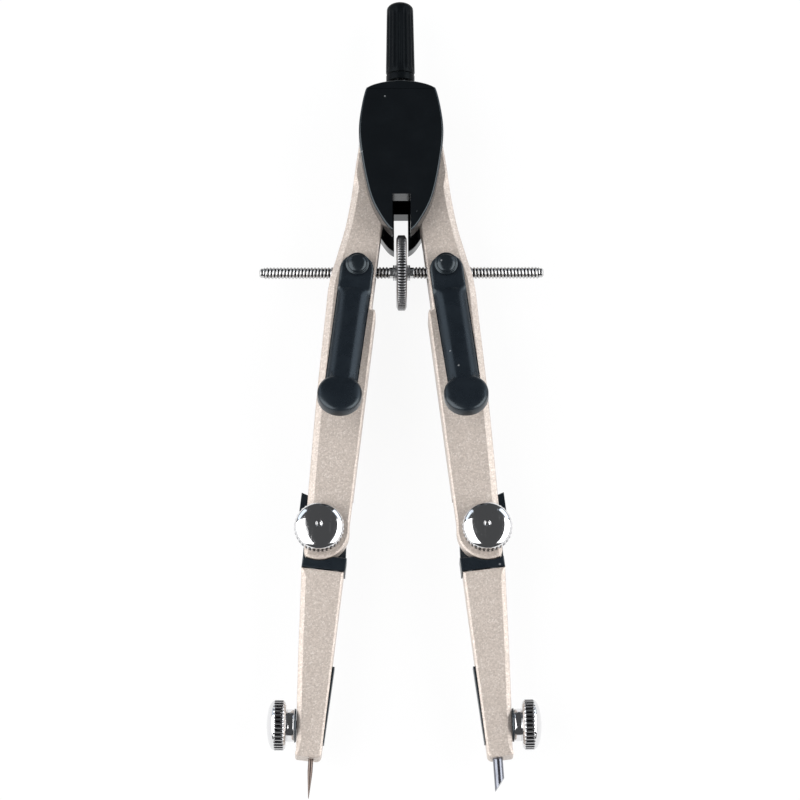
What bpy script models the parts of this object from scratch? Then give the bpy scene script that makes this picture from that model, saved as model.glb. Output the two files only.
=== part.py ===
"""Quick-setting bow compass with a centre wheel, lying on the back of its head.

+Y points along the handle, +Z out of the front covers, +X to the lead leg.
Leg pieces are drawn in leg coordinates: u across the leg from its inner edge, w down the leg
from its pivot, z from the mid-plane. The left leg is the right one mirrored.
"""

from math import atan2, cos, hypot, pi, radians, sin, tan

import bmesh
import bpy
from mathutils import Matrix, Vector

# Whole compass
overall_length = 0.170
handle_reach = 0.0272  # leg pivots to the top of the handle
pivot_half_spacing = 0.0042
rest_opening = radians(6.9)  # each leg, from straight down
head_gap = 0.0082  # between the two covers
rear_cover_thickness = 0.0038
front_cover_thickness = 0.0042

# Fits
seat_gap = 0.0002  # between pieces that rest on each other
turning_gap = 0.0001  # radial, round a shaft
moving_gap = 0.0003  # beside pieces that swing
overrun = 0.002  # a cutter past the face that it opens

# Shared metal work
pivot_shank_radius = 0.0014
spindle_radius = 0.00123
spindle_drop = 0.0328  # leg pivot to the spindle, down the leg
knee_drop = 0.0891  # leg pivot to the knee, down the leg
round_sides = 24
rim_steps = 3

pivot_y = overall_length / 2 - handle_reach
mid_z = rear_cover_thickness + head_gap / 2

BLACK = (0.010, 0.012, 0.014)
PAINT = (0.58, 0.50, 0.45)
CHROME = (0.75, 0.76, 0.78)
STEEL = (0.50, 0.50, 0.50)
BRASS = (0.62, 0.45, 0.20)
GRAPHITE = (0.05, 0.05, 0.055)


def clear_scene():
    for old in list(bpy.data.objects):
        bpy.data.objects.remove(old, do_unlink=True)


def material(name, colour, roughness, metallic):
    made = bpy.data.materials.new(name)
    made.use_nodes = True
    shader = made.node_tree.nodes["Principled BSDF"]
    shader.inputs["Base Color"].default_value = (*colour, 1)
    shader.inputs["Roughness"].default_value = roughness
    shader.inputs["Metallic"].default_value = metallic
    return made


def empty(name, place, turn=0, parent=None):
    made = bpy.data.objects.new(name, None)
    made.location = place
    made.rotation_euler.z = turn
    made.parent = parent
    bpy.context.collection.objects.link(made)
    return made


def node(name, shape, looks, parent=None, place=None):
    """One named piece from a finished bmesh; looks is (colour, roughness, metallic)."""
    bmesh.ops.recalc_face_normals(shape, faces=shape.faces)
    mesh = bpy.data.meshes.new(name)
    shape.to_mesh(mesh)
    shape.free()
    mesh.shade_smooth()
    mesh.set_sharp_from_angle(angle=radians(35))
    made = bpy.data.objects.new(name, mesh)
    made.parent = parent
    made.matrix_local = place or Matrix()
    bpy.context.collection.objects.link(made)
    made.data.materials.append(material(name, *looks))
    return made


def boolean(piece, shape, operation, place=None):
    """Cut or join a bmesh drawn in the piece's own coordinates."""
    label = f"{piece.name}_{operation.lower()}_{len(piece.modifiers)}"
    bmesh.ops.recalc_face_normals(shape, faces=shape.faces)
    mesh = bpy.data.meshes.new(label)
    shape.to_mesh(mesh)
    shape.free()
    helper = bpy.data.objects.new(label, mesh)
    helper.parent = piece
    helper.matrix_local = place or Matrix()
    helper.hide_render = True
    helper.display_type = "WIRE"
    bpy.context.collection.objects.link(helper)
    step = piece.modifiers.new(label, "BOOLEAN")
    step.operation = operation
    step.object = helper
    step.solver = "EXACT"


def cut(piece, shape, place=None):
    boolean(piece, shape, "DIFFERENCE", place)


def join(piece, shape, place=None):
    boolean(piece, shape, "UNION", place)


def slab(outline, low, high, round_low=0, round_high=0):
    """A closed outline drawn up from low to high, with its lower and upper rims rounded."""
    shape = bmesh.new()
    base = shape.faces.new([shape.verts.new((x, y, low)) for x, y in outline])
    lifted = bmesh.ops.extrude_face_region(shape, geom=[base])["geom"]
    corners = [part for part in lifted if isinstance(part, bmesh.types.BMVert)]
    bmesh.ops.translate(shape, verts=corners, vec=(0, 0, high - low))
    for level, radius in ((low, round_low), (high, round_high)):
        if radius:
            rim = [
                edge
                for edge in shape.edges
                if all(abs(corner.co.z - level) < turning_gap / 10 for corner in edge.verts)
            ]
            bmesh.ops.bevel(
                shape, geom=rim, offset=radius, segments=rim_steps, profile=0.5, affect="EDGES"
            )
    return shape


def turned(profile, sides=round_sides, hollow=False):
    """A solid of revolution about Z from (radius, height) points; a hollow one closes on itself."""
    shape = bmesh.new()
    rings = []
    for radius, height in profile:
        if radius == 0:
            rings.append([shape.verts.new((0, 0, height))] * sides)
            continue
        angles = [2 * pi * step / sides for step in range(sides)]
        rings.append(
            [shape.verts.new((radius * cos(a), radius * sin(a), height)) for a in angles]
        )
    bridge(shape, rings, hollow)
    return shape


def bridge(shape, rings, hollow=False):
    """Join rings of equal count; a hollow shape joins the last to the first, others get end caps."""
    for lower, upper in zip(rings, [*rings[1:], rings[0]] if hollow else rings[1:]):
        for here, after in zip(range(len(lower)), [*range(1, len(lower)), 0]):
            corners = []
            for corner in (lower[here], lower[after], upper[after], upper[here]):
                if corner not in corners:
                    corners.append(corner)
            if len(corners) > 2:
                shape.faces.new(corners)
    for ring in () if hollow else (rings[0], rings[-1]):
        if ring[0] is not ring[1]:
            shape.faces.new(ring)


def rod(radius, low, high, sides=round_sides):
    return turned([(radius, low), (radius, high)], sides)


def tube(radius, bore, low, high, sides=round_sides):
    return turned([(radius, low), (radius, high), (bore, high), (bore, low)], sides, hollow=True)


def spread(start, end, steps):
    """Evenly spaced values from start to end."""
    return [start + (end - start) * step / steps for step in range(steps + 1)]


def smooth(points, steps):
    """A smooth curve through the points, each joined to the next by a cubic."""
    ends = [points[0], *points, points[-1]]
    line = []
    for a, b, c, d in zip(ends, ends[1:], ends[2:], ends[3:]):
        for step in range(steps):
            t = step / steps
            line.append(
                tuple(
                    b[k]
                    + t * (c[k] - a[k]) / 2
                    + t * t * (2 * a[k] - 5 * b[k] + 4 * c[k] - d[k]) / 2
                    + t * t * t * (3 * b[k] - a[k] - 3 * c[k] + d[k]) / 2
                    for k in (0, 1)
                )
            )
    return [*line, points[-1]]


def box(low, high):
    shape = bmesh.new()
    bmesh.ops.create_cube(shape, size=1)
    for corner in shape.verts:
        for k in (0, 1, 2):
            corner.co[k] = high[k] if corner.co[k] > 0 else low[k]
    return shape


def aimed(direction, place=(0, 0, 0)):
    """The frame whose Z lies along direction, at place."""
    return Matrix.Translation(place) @ Vector(direction).to_track_quat("Z", "Y").to_matrix().to_4x4()


# Head

cover_top = 0.0069  # above the pivots, at the middle of the arch
cover_arch = [(0.0028, 0.00665), (0.0052, 0.0061), (0.0067, 0.00545)]
cover_shoulder = (0.00728, 0.0048)
cover_sides = [(0.00803, 0.0017), (0.00865, -0.0028), (0.00854, -0.0070), (0.00753, -0.0138)]
cover_horn = [(0.0063, -0.0189), (0.00458, -0.0226), (0.0025, -0.0256), (0, -0.0270)]
cover_rim = 0.0009
cover_wall = 0.0016
cavity_foot = -0.0120
slot_top = -0.0182
slot_half_width_front = 0.00185
slot_half_width_rear = 0.00145
boss_radius = 0.0029
screw_head_radius = 0.0025
screw_head_height = 0.0016
screw_head_depth = 0.0004  # how far the head sits below the rear cover's back
screw_reach = 0.0062  # the screw's end, from the mid-plane
screw_slot_half_width = 0.0003
block_corner = (0.0062, 0.0053)
block_brow = (0.0040, 0.0059)
block_foot = 0.0012
leg_top_radius = 0.0047
neck_radius = 0.0023
neck_top = 0.0092


def cover_outline():
    half = [
        (0, cover_top),
        *cover_arch,
        cover_shoulder,
        *cover_sides,
        *cover_horn,
    ]
    right = smooth(half, 3)
    return right[:-1] + [(-x, y) for x, y in reversed(right[1:])]


def cover_cavity():
    """The hollow behind a cover's face, one wall inside its outline and above the horns."""
    half = [(x - cover_wall, min(y, cover_top - 2 * cover_wall)) for x, y in cover_sides]
    top = cover_shoulder[1] - cover_wall
    right = [(cover_shoulder[0] - cover_wall, top), *half[:3], (half[3][0], cavity_foot)]
    return right + [(-x, y) for x, y in reversed(right)]


def make_cover(name, side, parent):
    """side is 1 for the front cover and -1 for the rear one."""
    thickness = front_cover_thickness if side > 0 else rear_cover_thickness
    inner = side * head_gap / 2
    outer = inner + side * thickness
    low, high = sorted((inner, outer))
    cover = node(
        name,
        slab(cover_outline(), low, high, cover_rim if side < 0 else 0, cover_rim if side > 0 else 0),
        (BLACK, 0.42, 0),
        parent,
    )
    hollow = sorted((inner - side * overrun, outer - side * cover_wall))
    cavity = slab(cover_cavity(), *hollow)
    cut(cover, cavity)
    width = slot_half_width_front if side > 0 else slot_half_width_rear
    slot = [
        (-width, slot_top),
        (-width, cover_horn[-1][1] - overrun),
        (width, cover_horn[-1][1] - overrun),
        (width, slot_top),
    ]
    cut(cover, slab(slot, low - overrun, high + overrun))
    for across in (-pivot_half_spacing, pivot_half_spacing):
        place = Matrix.Translation((across, 0, 0))
        join(cover, rod(boss_radius, *sorted((inner, outer - side * cover_wall / 2))), place)
    for across in (-pivot_half_spacing, pivot_half_spacing):
        place = Matrix.Translation((across, 0, 0))
        bore = pivot_shank_radius + turning_gap
        if side > 0:
            cut(cover, rod(bore, inner - overrun, screw_reach + seat_gap), place)
        else:
            cut(cover, rod(bore, outer - overrun, inner + overrun), place)
            seat = outer + screw_head_depth + screw_head_height + seat_gap
            cut(cover, rod(screw_head_radius + turning_gap, outer - overrun, seat), place)
    return cover


def make_head(parent):
    make_cover("front_cover", 1, parent)
    make_cover("rear_cover", -1, parent)
    reach = head_gap / 2 - seat_gap
    brow = [block_corner, block_brow, (0, cover_top - cover_rim)]
    block = node(
        "head_block",
        slab(
            [
                (-block_corner[0], block_foot),
                (block_corner[0], block_foot),
                *brow,
                *[(-x, y) for x, y in reversed(brow[:-1])],
            ],
            -reach,
            reach,
        ),
        (BLACK, 0.45, 0),
        parent,
    )
    for across in (-pivot_half_spacing, pivot_half_spacing):
        clear = rod(leg_top_radius + moving_gap, -reach - overrun, reach + overrun)
        cut(block, clear, Matrix.Translation((across, 0, 0)))
    upright = aimed((0, 1, 0))
    join(block, rod(neck_radius, block_corner[1], neck_top), upright)
    cut(block, rod(stem_radius + turning_gap, stem_foot - seat_gap, neck_top + overrun), upright)
    back = -head_gap / 2 - rear_cover_thickness
    for side, label in ((-1, "left"), (1, "right")):
        head = back + screw_head_depth
        screw = node(
            f"{label}_pivot_screw",
            turned(
                [
                    (screw_head_radius, head),
                    (screw_head_radius, head + screw_head_height),
                    (pivot_shank_radius, head + screw_head_height),
                    (pivot_shank_radius, screw_reach),
                ]
            ),
            (STEEL, 0.3, 1),
            parent,
            Matrix.Translation((side * pivot_half_spacing, 0, 0)),
        )
        slot = (screw_head_radius + overrun, screw_slot_half_width, head + screw_head_height / 2)
        low = (-slot[0], -slot[1], head - overrun)
        cut(screw, box(low, slot))


# Handle

stem_radius = 0.0014
stem_foot = 0.0042
stem_top = 0.0180
collar_radius = 0.00295
collar_low = 0.0094
collar_high = 0.0109
grip_base_radius = 0.0030
grip_top_radius = 0.00275
grip_dome = 0.0016
grip_dome_steps = 4
flutes = 18
flute_depth = 0.00028
flute_points = 4
flute_foot = 0.0012


def fluted_ring(shape, radius, depth, height):
    """One ring of the grip: the radius dips by depth between neighbouring ribs."""
    ring = []
    count = flutes * flute_points
    for step in range(count):
        turn = 2 * pi * step / count
        dip = depth * (1 - cos(flutes * turn)) / 2
        ring.append(shape.verts.new(((radius - dip) * cos(turn), (radius - dip) * sin(turn), height)))
    return ring


def make_handle(parent):
    upright = aimed((0, 1, 0))
    foot = collar_high + seat_gap
    shoulder = handle_reach - grip_dome
    shape = bmesh.new()
    rings = [
        fluted_ring(shape, grip_base_radius, 0, foot),
        fluted_ring(shape, grip_base_radius, flute_depth, foot + flute_foot),
        fluted_ring(shape, grip_top_radius, flute_depth, shoulder),
    ]
    for turn in spread(0, pi / 2, grip_dome_steps)[1:-1]:
        radius = grip_top_radius * cos(turn)
        rings.append(fluted_ring(shape, radius, 0, shoulder + grip_dome * sin(turn)))
    rings.append([shape.verts.new((0, 0, handle_reach))] * len(rings[0]))
    bridge(shape, rings)
    grip = node("handle_grip", shape, (BLACK, 0.4, 0), parent, upright)
    cut(grip, rod(stem_radius + turning_gap, foot - overrun, stem_top + seat_gap))
    bore = stem_radius + turning_gap
    collar = tube(collar_radius, bore, collar_low, collar_high)
    node("handle_collar", collar, (BLACK, 0.3, 0), parent, upright)
    node("handle_stem", rod(stem_radius, stem_foot, stem_top), (STEEL, 0.35, 1), parent, upright)


# Spindle and wheel, along X

spindle_half_length = 0.0291
thread_pitch = 0.0007
thread_root_radius = 0.00084
thread_sides = 8
thread_start = 0.0026  # plain shaft each side of the centre
shaft_radius = 0.00112
end_chamfer = 0.0003
plain_end = 0.0009
plain_end_radius = 0.00098
thread_lap = 0.0005  # how far the plain stretches run into the thread
wheel_radius = 0.00775
wheel_half_width = 0.00105
wheel_edge = 0.0003
wheel_teeth = 80
tooth_share = 0.5  # of a tooth pitch, from crest to groove
wheel_knurl_depth = 0.00025
hub_radius = 0.0016
hub_half_length = 0.00130
washer_thickness = 0.00035


def knurled(profile, teeth):
    """Turned piece whose rim is knurled; profile is (radius, height, depth of the grooves)."""
    shape = bmesh.new()
    rings = []
    for radius, height, depth in profile:
        ring = []
        for tooth in range(teeth):
            for turn, dip in ((0, 0), (tooth_share, depth)):
                a = 2 * pi * (tooth + turn) / teeth
                ring.append(shape.verts.new(((radius - dip) * cos(a), (radius - dip) * sin(a), height)))
        rings.append(ring)
    bridge(shape, rings)
    return shape


def thread(hand, low, high):
    """A screw thread along Z from low to high; hand is 1 for a right-hand thread, -1 for a left.

    Point j of section i lies at height (i / 2 + j / sides) pitches, on the root when i is even
    and on the crest when it is odd, so after one turn the sections shift by two.
    """
    shape = bmesh.new()
    margin = 2 * thread_pitch
    sections = 2 * int((high - low + 2 * margin) / thread_pitch) + 2
    rows = []
    for i in range(sections):
        radius = spindle_radius if i % 2 else thread_root_radius
        row = []
        for j in range(thread_sides):
            turn = hand * 2 * pi * j / thread_sides
            height = low - margin + thread_pitch * (i / 2 + j / thread_sides)
            row.append(shape.verts.new((radius * cos(turn), radius * sin(turn), height)))
        rows.append(row)
    for lower, upper in zip(rows, rows[1:]):
        for j in range(thread_sides - 1):
            shape.faces.new((lower[j], upper[j], upper[j + 1], lower[j + 1]))
    for i in range(sections - 3):
        shape.faces.new((rows[i][-1], rows[i + 1][-1], rows[i + 3][0], rows[i + 2][0]))
    for height, outward in ((low, -1), (high, 1)):
        sliced = bmesh.ops.bisect_plane(
            shape,
            geom=[*shape.verts, *shape.edges, *shape.faces],
            dist=turning_gap / 1000,
            plane_co=(0, 0, height),
            plane_no=(0, 0, outward),
            clear_outer=True,
        )["geom_cut"]
        edges = [part for part in sliced if isinstance(part, bmesh.types.BMEdge)]
        bmesh.ops.edgeloop_fill(shape, edges=edges)
    return shape


def make_spindle(parent):
    """The left half carries a left-hand thread and the right half a right-hand one."""
    along = aimed((1, 0, 0))
    middle = rod(shaft_radius, -thread_start - thread_lap, thread_start + thread_lap)
    spindle = node("spindle", middle, (STEEL, 0.3, 1), parent, along)
    thread_end = spindle_half_length - plain_end
    for side in (-1, 1):
        join(spindle, thread(side, *sorted((side * thread_start, side * thread_end))))
        tip = [
            (plain_end_radius, thread_end - thread_lap),
            (plain_end_radius, spindle_half_length - end_chamfer),
            (plain_end_radius - end_chamfer, spindle_half_length),
        ]
        join(spindle, turned([(radius, side * height) for radius, height in tip]))
    bore = spindle_radius + turning_gap
    half = wheel_half_width
    teeth_depth = wheel_knurl_depth
    wheel = node(
        "adjusting_wheel",
        knurled(
            [
                (wheel_radius - wheel_edge, -half, 0),
                (wheel_radius, -half + wheel_edge, teeth_depth),
                (wheel_radius, half - wheel_edge, teeth_depth),
                (wheel_radius - wheel_edge, half, 0),
            ],
            wheel_teeth,
        ),
        (CHROME, 0.25, 1),
        parent,
        along,
    )
    join(wheel, rod(hub_radius, -hub_half_length, hub_half_length))
    cut(wheel, rod(bore, -hub_half_length - overrun, hub_half_length + overrun))
    for side, label in ((-1, "left"), (1, "right")):
        near = hub_half_length + turning_gap
        washer = tube(hub_radius, bore, *sorted((side * near, side * (near + washer_thickness))))
        node(f"{label}_wheel_washer", washer, (STEEL, 0.3, 1), parent, along)


# Upper legs

pivot_across = 0.00393  # the leg's pivot, from its inner edge line
leg_half_thickness = 0.0039
leg_slope = 0.0079  # loss of half thickness for each unit down the leg
leg_wall = 0.0011
face_wall = 0.0010
outer_edge = [
    (0.00778, 0.0106),
    (0.00788, 0.0173),
    (0.00829, 0.0239),
    (0.00932, 0.0307),
    (0.01020, 0.0360),
    (0.01015, 0.0439),
    (0.00982, 0.0612),
    (0.00912, 0.0803),
    (0.00845, 0.0936),
]
recess = 0.00098
recess_top = 0.0060
recess_foot = 0.0412
recess_ramp = 0.0010
ramp_share = (0.25, 0.33)  # out and down, of the point between the ramp's ends
leg_edge_round = 0.0009
inner_edge_round = 0.0004
rounded_share = 0.92  # rims further out than this share of the leg's width are outer ones
knee_across = 0.0059
knee_disc_radius = 0.0061
disc_span = (radians(71), radians(173))  # outer to inner end of the leg's rounded end
disc_steps = 8
boss_turns = [radians(turn) for turn in (0, 22, 45, 68)]  # round the pivot, up to the teeth
full_teeth = 14  # if the teeth went all the way round
tooth_pitch = 2 * pi / full_teeth
pitch_radius = pivot_half_spacing
tooth_tip_radius = 0.00468
tooth_root_radius = 0.00345
tooth_tip_half_share = 0.10  # of the tooth pitch
tooth_root_half_share = 0.24
tooth_span = (-1, 0, 1, 2)  # teeth, counted up from the line between the pivots
hollow_top = 0.0130
hollow_foot = 0.0760
knee_screw_radius = 0.0015
lap_face = 0.0  # the plane where the knee's two halves meet
rounding_top = 0.0068  # the rims above this stay square, inside the head

# Quick release
lever_across = 0.00485
carrier_radius = 0.00255
carrier_low = -0.0033
carrier_high = 0.0024
nut_radius = 0.0019
nut_top = 0.0030
nut_foot = 0.00015
nut_groove_radius = 0.0015
nut_across = lever_across
stem_hole_radius = 0.00195
nut_stem_radius = 0.0012
spindle_slot_half_height = 0.0018
spindle_slot_outer = (-0.0017, 0.0047)  # up and down the leg from the spindle, outer wall
spindle_slot_inner = (-0.0047, 0.0017)
notch_high = 0.0030
fulcrum_drop = 0.0378
fulcrum_height = 0.0020
fulcrum_radius = 0.0006
lug_half_width = 0.0014
lug_thickness = 0.0012
lug_length = 0.0032
lug_foot = 0.0009
rib_half_width = 0.0011
rib_half_length = 0.0011
window_half_length = 0.0019


def half_thickness(w):
    return leg_half_thickness - leg_slope * w


def leg_points(side, points):
    """Leg coordinates to the leg frame, whose origin is the pivot and whose -Y runs down the leg."""
    return [(side * (u - pivot_across), -w) for u, w in points]


def thinned(shape, law=half_thickness):
    """Draw the faces together down the leg, as law gives the half thickness there."""
    for corner in shape.verts:
        corner.co.z *= law(-corner.co.y) / leg_half_thickness
    bmesh.ops.triangulate(shape, faces=shape.faces)
    return shape


def width_at(line, w):
    """The u of an outer edge, a line of (u, w) points, at w."""
    for (u0, w0), (u1, w1) in zip(line, line[1:]):
        if w <= w1:
            break
    return u0 + (u1 - u0) * (w - w0) / (w1 - w0)


def rounded_rims(shape, side, line):
    """Round the rims of both faces below the head, more along the outer line than elsewhere."""
    for outer, radius in ((True, leg_edge_round), (False, inner_edge_round)):
        rims = []
        for edge in shape.edges:
            heights = [corner.co.z for corner in edge.verts]
            middle = (edge.verts[0].co + edge.verts[1].co) / 2
            across = side * middle.x + pivot_across
            level = abs(heights[0] - heights[1]) < turning_gap / 10
            if level and min(-corner.co.y for corner in edge.verts) > rounding_top:
                if (across > width_at(line, -middle.y) * rounded_share) == outer:
                    rims.append(edge)
        bmesh.ops.bevel(
            shape, geom=rims, offset=radius, segments=rim_steps, profile=0.5, affect="EDGES"
        )
    return shape


def gear_points(side):
    """The toothed top of a leg, in leg coordinates, from its outer side over to its inner side."""
    line = []
    for tooth in reversed(tooth_span):
        middle = tooth * tooth_pitch + side * tooth_pitch / 4
        for share, radius in (
            (tooth_root_half_share, tooth_root_radius),
            (tooth_tip_half_share, tooth_tip_radius),
            (-tooth_tip_half_share, tooth_tip_radius),
            (-tooth_root_half_share, tooth_root_radius),
        ):
            lift = middle + share * tooth_pitch + rest_opening
            line.append((pivot_across - radius * cos(lift), -radius * sin(lift)))
    return line


def upper_leg_outline(side):
    boss = [
        (pivot_across + tooth_root_radius * cos(turn), -tooth_root_radius * sin(turn))
        for turn in boss_turns
    ]
    disc = [
        (knee_across + knee_disc_radius * cos(turn), knee_drop + knee_disc_radius * sin(turn))
        for turn in spread(*disc_span, disc_steps)
    ]
    outer = smooth(outer_edge, 2)
    inner = [
        (0, recess_foot + recess_ramp),
        (recess * ramp_share[0], recess_foot + recess_ramp * ramp_share[1]),
        (recess, recess_foot),
        (recess, recess_top),
    ]
    return [*boss, *gear_points(side), *reversed(inner), *reversed(disc), *reversed(outer)]


def make_upper_leg(label, side, frame):
    outline = leg_points(side, upper_leg_outline(side))
    shape = slab(outline, -leg_half_thickness, leg_half_thickness)
    rounded_rims(shape, side, outer_edge)
    leg = node(f"{label}_upper_leg", thinned(shape), (PAINT, 0.45, 0.6), frame)
    hollow = [
        (recess + leg_wall, hollow_top),
        (outer_edge[1][0] - leg_wall, hollow_top),
        (outer_edge[2][0] - leg_wall, outer_edge[2][1]),
        (outer_edge[4][0] - leg_wall, outer_edge[4][1]),
        (outer_edge[6][0] - leg_wall, outer_edge[6][1]),
        (outer_edge[7][0] - leg_wall, hollow_foot),
        (leg_wall, hollow_foot),
        (leg_wall, recess_foot + 2 * recess_ramp),
        (recess + leg_wall, recess_foot),
    ]
    deep = leg_half_thickness - face_wall
    pocket = slab(leg_points(side, hollow), -leg_half_thickness * 2, deep)
    cut(leg, thinned(pocket))
    lap = rod(lap_radius, -leg_half_thickness - overrun, lap_face + seat_gap / 2, 2 * round_sides)
    knee = Vector((*leg_points(side, [(knee_across, knee_drop)])[0], 0))
    cut(leg, lap, Matrix.Translation(knee))
    for sign in (-1, 1):
        low = lever_across + sign * (lug_half_width + lug_thickness / 2) - lug_thickness / 2
        lug = slab(
            leg_points(
                side,
                [
                    (low, fulcrum_drop - lug_length / 2),
                    (low + lug_thickness, fulcrum_drop - lug_length / 2),
                    (low + lug_thickness, fulcrum_drop + lug_length / 2),
                    (low, fulcrum_drop + lug_length / 2),
                ],
            ),
            lug_foot,
            half_thickness(fulcrum_drop) - face_wall / 2,
        )
        join(leg, lug)
    pin_reach = lug_half_width + lug_thickness + overrun / 2
    cut(leg, rod(fulcrum_radius + turning_gap, -pin_reach, pin_reach), fulcrum_frame(side))
    window = slab(
        leg_points(
            side,
            [
                (lever_across - lug_half_width, fulcrum_drop - window_half_length),
                (lever_across + lug_half_width, fulcrum_drop - window_half_length),
                (lever_across + lug_half_width, fulcrum_drop + window_half_length),
                (lever_across - lug_half_width, fulcrum_drop + window_half_length),
            ],
        ),
        lug_foot,
        leg_half_thickness + overrun,
    )
    cut(leg, window)
    nut_place = Matrix.Translation((*leg_points(side, [(nut_across, spindle_drop)])[0], 0))
    cut(leg, rod(nut_radius + turning_gap, 0, leg_half_thickness + overrun), nut_place)
    for start, end, span, high in (
        (-overrun, nut_across - carrier_radius, spindle_slot_inner, spindle_slot_half_height),
        (nut_across + carrier_radius, outer_edge[4][0] + overrun, spindle_slot_outer, notch_high),
    ):
        slot = [
            (start, spindle_drop + span[0]),
            (end, spindle_drop + span[0]),
            (end, spindle_drop + span[1]),
            (start, spindle_drop + span[1]),
        ]
        cut(leg, slab(leg_points(side, slot), -spindle_slot_half_height, high))
    bore = pivot_shank_radius + turning_gap
    cut(leg, rod(bore, -leg_half_thickness - overrun, leg_half_thickness + overrun))
    screw_bore = rod(knee_screw_radius + turning_gap, -overrun, leg_half_thickness + overrun)
    cut(leg, screw_bore, Matrix.Translation(knee))
    return leg


def fulcrum_frame(side):
    """Z runs along the release lever's pin."""
    across = leg_points(side, [(lever_across, fulcrum_drop)])[0]
    return aimed((1, 0, 0), (*across, fulcrum_height))


# Quick release levers

lever_gap = 0.0002  # over the leg's face
lever_thickness = 0.0015
lever_half_width = 0.00345
lever_top = 0.0304
lever_round_length = 0.0034
lever_round_steps = 12
arm_half_width_foot = 0.0033
arm_rise = radians(17.5)
arm_length = 0.0267  # kink to the middle of the pad
arm_round = 0.0006
pad_radius = 0.0045
pad_low = -0.0015
pad_high = 0.0015
pad_dome = 0.0005
pad_round = 0.0005
rib_foot = 0.0011
cap_radius = 0.0024
cap_low = 0.0056
cap_rim = 0.0003
cap_dome = 0.0008
spring_drop = 0.0495
spring_radius = 0.0015
spring_wire = 0.00036
spring_height = 0.0032
spring_curls = 3
spring_points = 9


def lever_low(w):
    return half_thickness(w) + lever_gap


def disc_dome(radius, low, high, dome):
    """Profile of a disc whose upper face rises by dome towards its middle."""
    turns = spread(0, pi / 2, rim_steps)[:-1]
    rise = [(radius * cos(turn), high + dome * sin(turn)) for turn in turns]
    return [(radius, low), *rise, (0, high + dome)]


def make_lever(label, side, frame):
    place = Vector((*leg_points(side, [(lever_across, fulcrum_drop)])[0], fulcrum_height))
    axis = empty(f"{label}_lever_axis", place, parent=frame)
    back = Matrix.Translation(-place)
    low = lever_low(spindle_drop)
    end = [
        (
            lever_across + lever_half_width * cos(turn),
            lever_top + lever_round_length * (1 - sin(turn)),
        )
        for turn in spread(0, pi, lever_round_steps)
    ]
    plate = leg_points(
        side,
        [
            (lever_across + lever_half_width, fulcrum_drop + lever_thickness / 4),
            *end,
            (lever_across - lever_half_width, fulcrum_drop + lever_thickness / 4),
        ],
    )
    lever = node(
        f"{label}_release_lever",
        slab(plate, low, low + lever_thickness, 0, arm_round),
        (BLACK, 0.35, 0),
        axis,
        back,
    )
    kink = Vector((place.x, place.y, low + lever_thickness / 2))
    tilt = Matrix.Translation(kink) @ Matrix.Rotation(-arm_rise, 4, "X")
    arm = [
        (-lever_half_width, 0),
        (-arm_half_width_foot, -arm_length + pad_radius / 2),
        (arm_half_width_foot, -arm_length + pad_radius / 2),
        (lever_half_width, 0),
    ]
    join(lever, slab(arm, -lever_thickness / 2, lever_thickness / 2, 0, arm_round), tilt)
    pad = [
        (pad_radius - pad_round, pad_low),
        (pad_radius, pad_low + pad_round),
        *disc_dome(pad_radius, pad_low + 2 * pad_round, pad_high - pad_dome, pad_dome)[1:],
    ]
    join(lever, turned(pad), tilt @ Matrix.Translation((0, -arm_length, 0)))
    rib = [
        (lever_across - rib_half_width, fulcrum_drop - rib_half_length),
        (lever_across + rib_half_width, fulcrum_drop - rib_half_length),
        (lever_across + rib_half_width, fulcrum_drop + rib_half_length),
        (lever_across - rib_half_width, fulcrum_drop + rib_half_length),
    ]
    join(lever, slab(leg_points(side, rib), rib_foot, low + lever_thickness / 2))
    reach = lug_half_width + lug_thickness
    cut(lever, rod(fulcrum_radius + turning_gap, -reach, reach), fulcrum_frame(side))
    hole = rod(stem_hole_radius, low - overrun, low + overrun + lever_thickness)
    cut(lever, hole, Matrix.Translation((*leg_points(side, [(nut_across, spindle_drop)])[0], 0)))
    pin = rod(fulcrum_radius, -reach + turning_gap, reach - turning_gap, round_sides // 2)
    node(f"{label}_lever_pin", pin, (STEEL, 0.3, 1), frame, fulcrum_frame(side))
    make_lever_spring(label, side, frame)


def make_lever_spring(label, side, frame):
    """A compression spring between the leg's face and the arm; its end curls lie flat."""
    line = bpy.data.curves.new(f"{label}_lever_spring", "CURVE")
    line.dimensions = "3D"
    line.bevel_depth = spring_wire / 2
    line.bevel_resolution = 1
    line.use_fill_caps = True
    count = spring_curls * spring_points + 1
    coil = line.splines.new("POLY")
    coil.points.add(count - 1)
    across, down = leg_points(side, [(lever_across, spring_drop)])[0]
    foot = half_thickness(spring_drop) + seat_gap + spring_wire / 2
    places = []
    for step, point in enumerate(coil.points):
        turn = 2 * pi * step / spring_points
        rise = spring_height * step / (count - 1)
        places.append((across + spring_radius * cos(turn), down + spring_radius * sin(turn), foot + rise))
        point.co = (*places[-1], 1)
    made = bpy.data.objects.new(line.name, line)
    made.parent = frame
    bpy.context.collection.objects.link(made)
    line.materials.append(material(line.name, STEEL, 0.3, 1))
    least = min(
        (Vector(a) - Vector(b)).length
        for i, a in enumerate(places)
        for b in places[i + spring_points // 2 :]
    )
    print(f"{line.name}: least gap between curls {(least - spring_wire) * 1000:.2f} mm")


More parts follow.
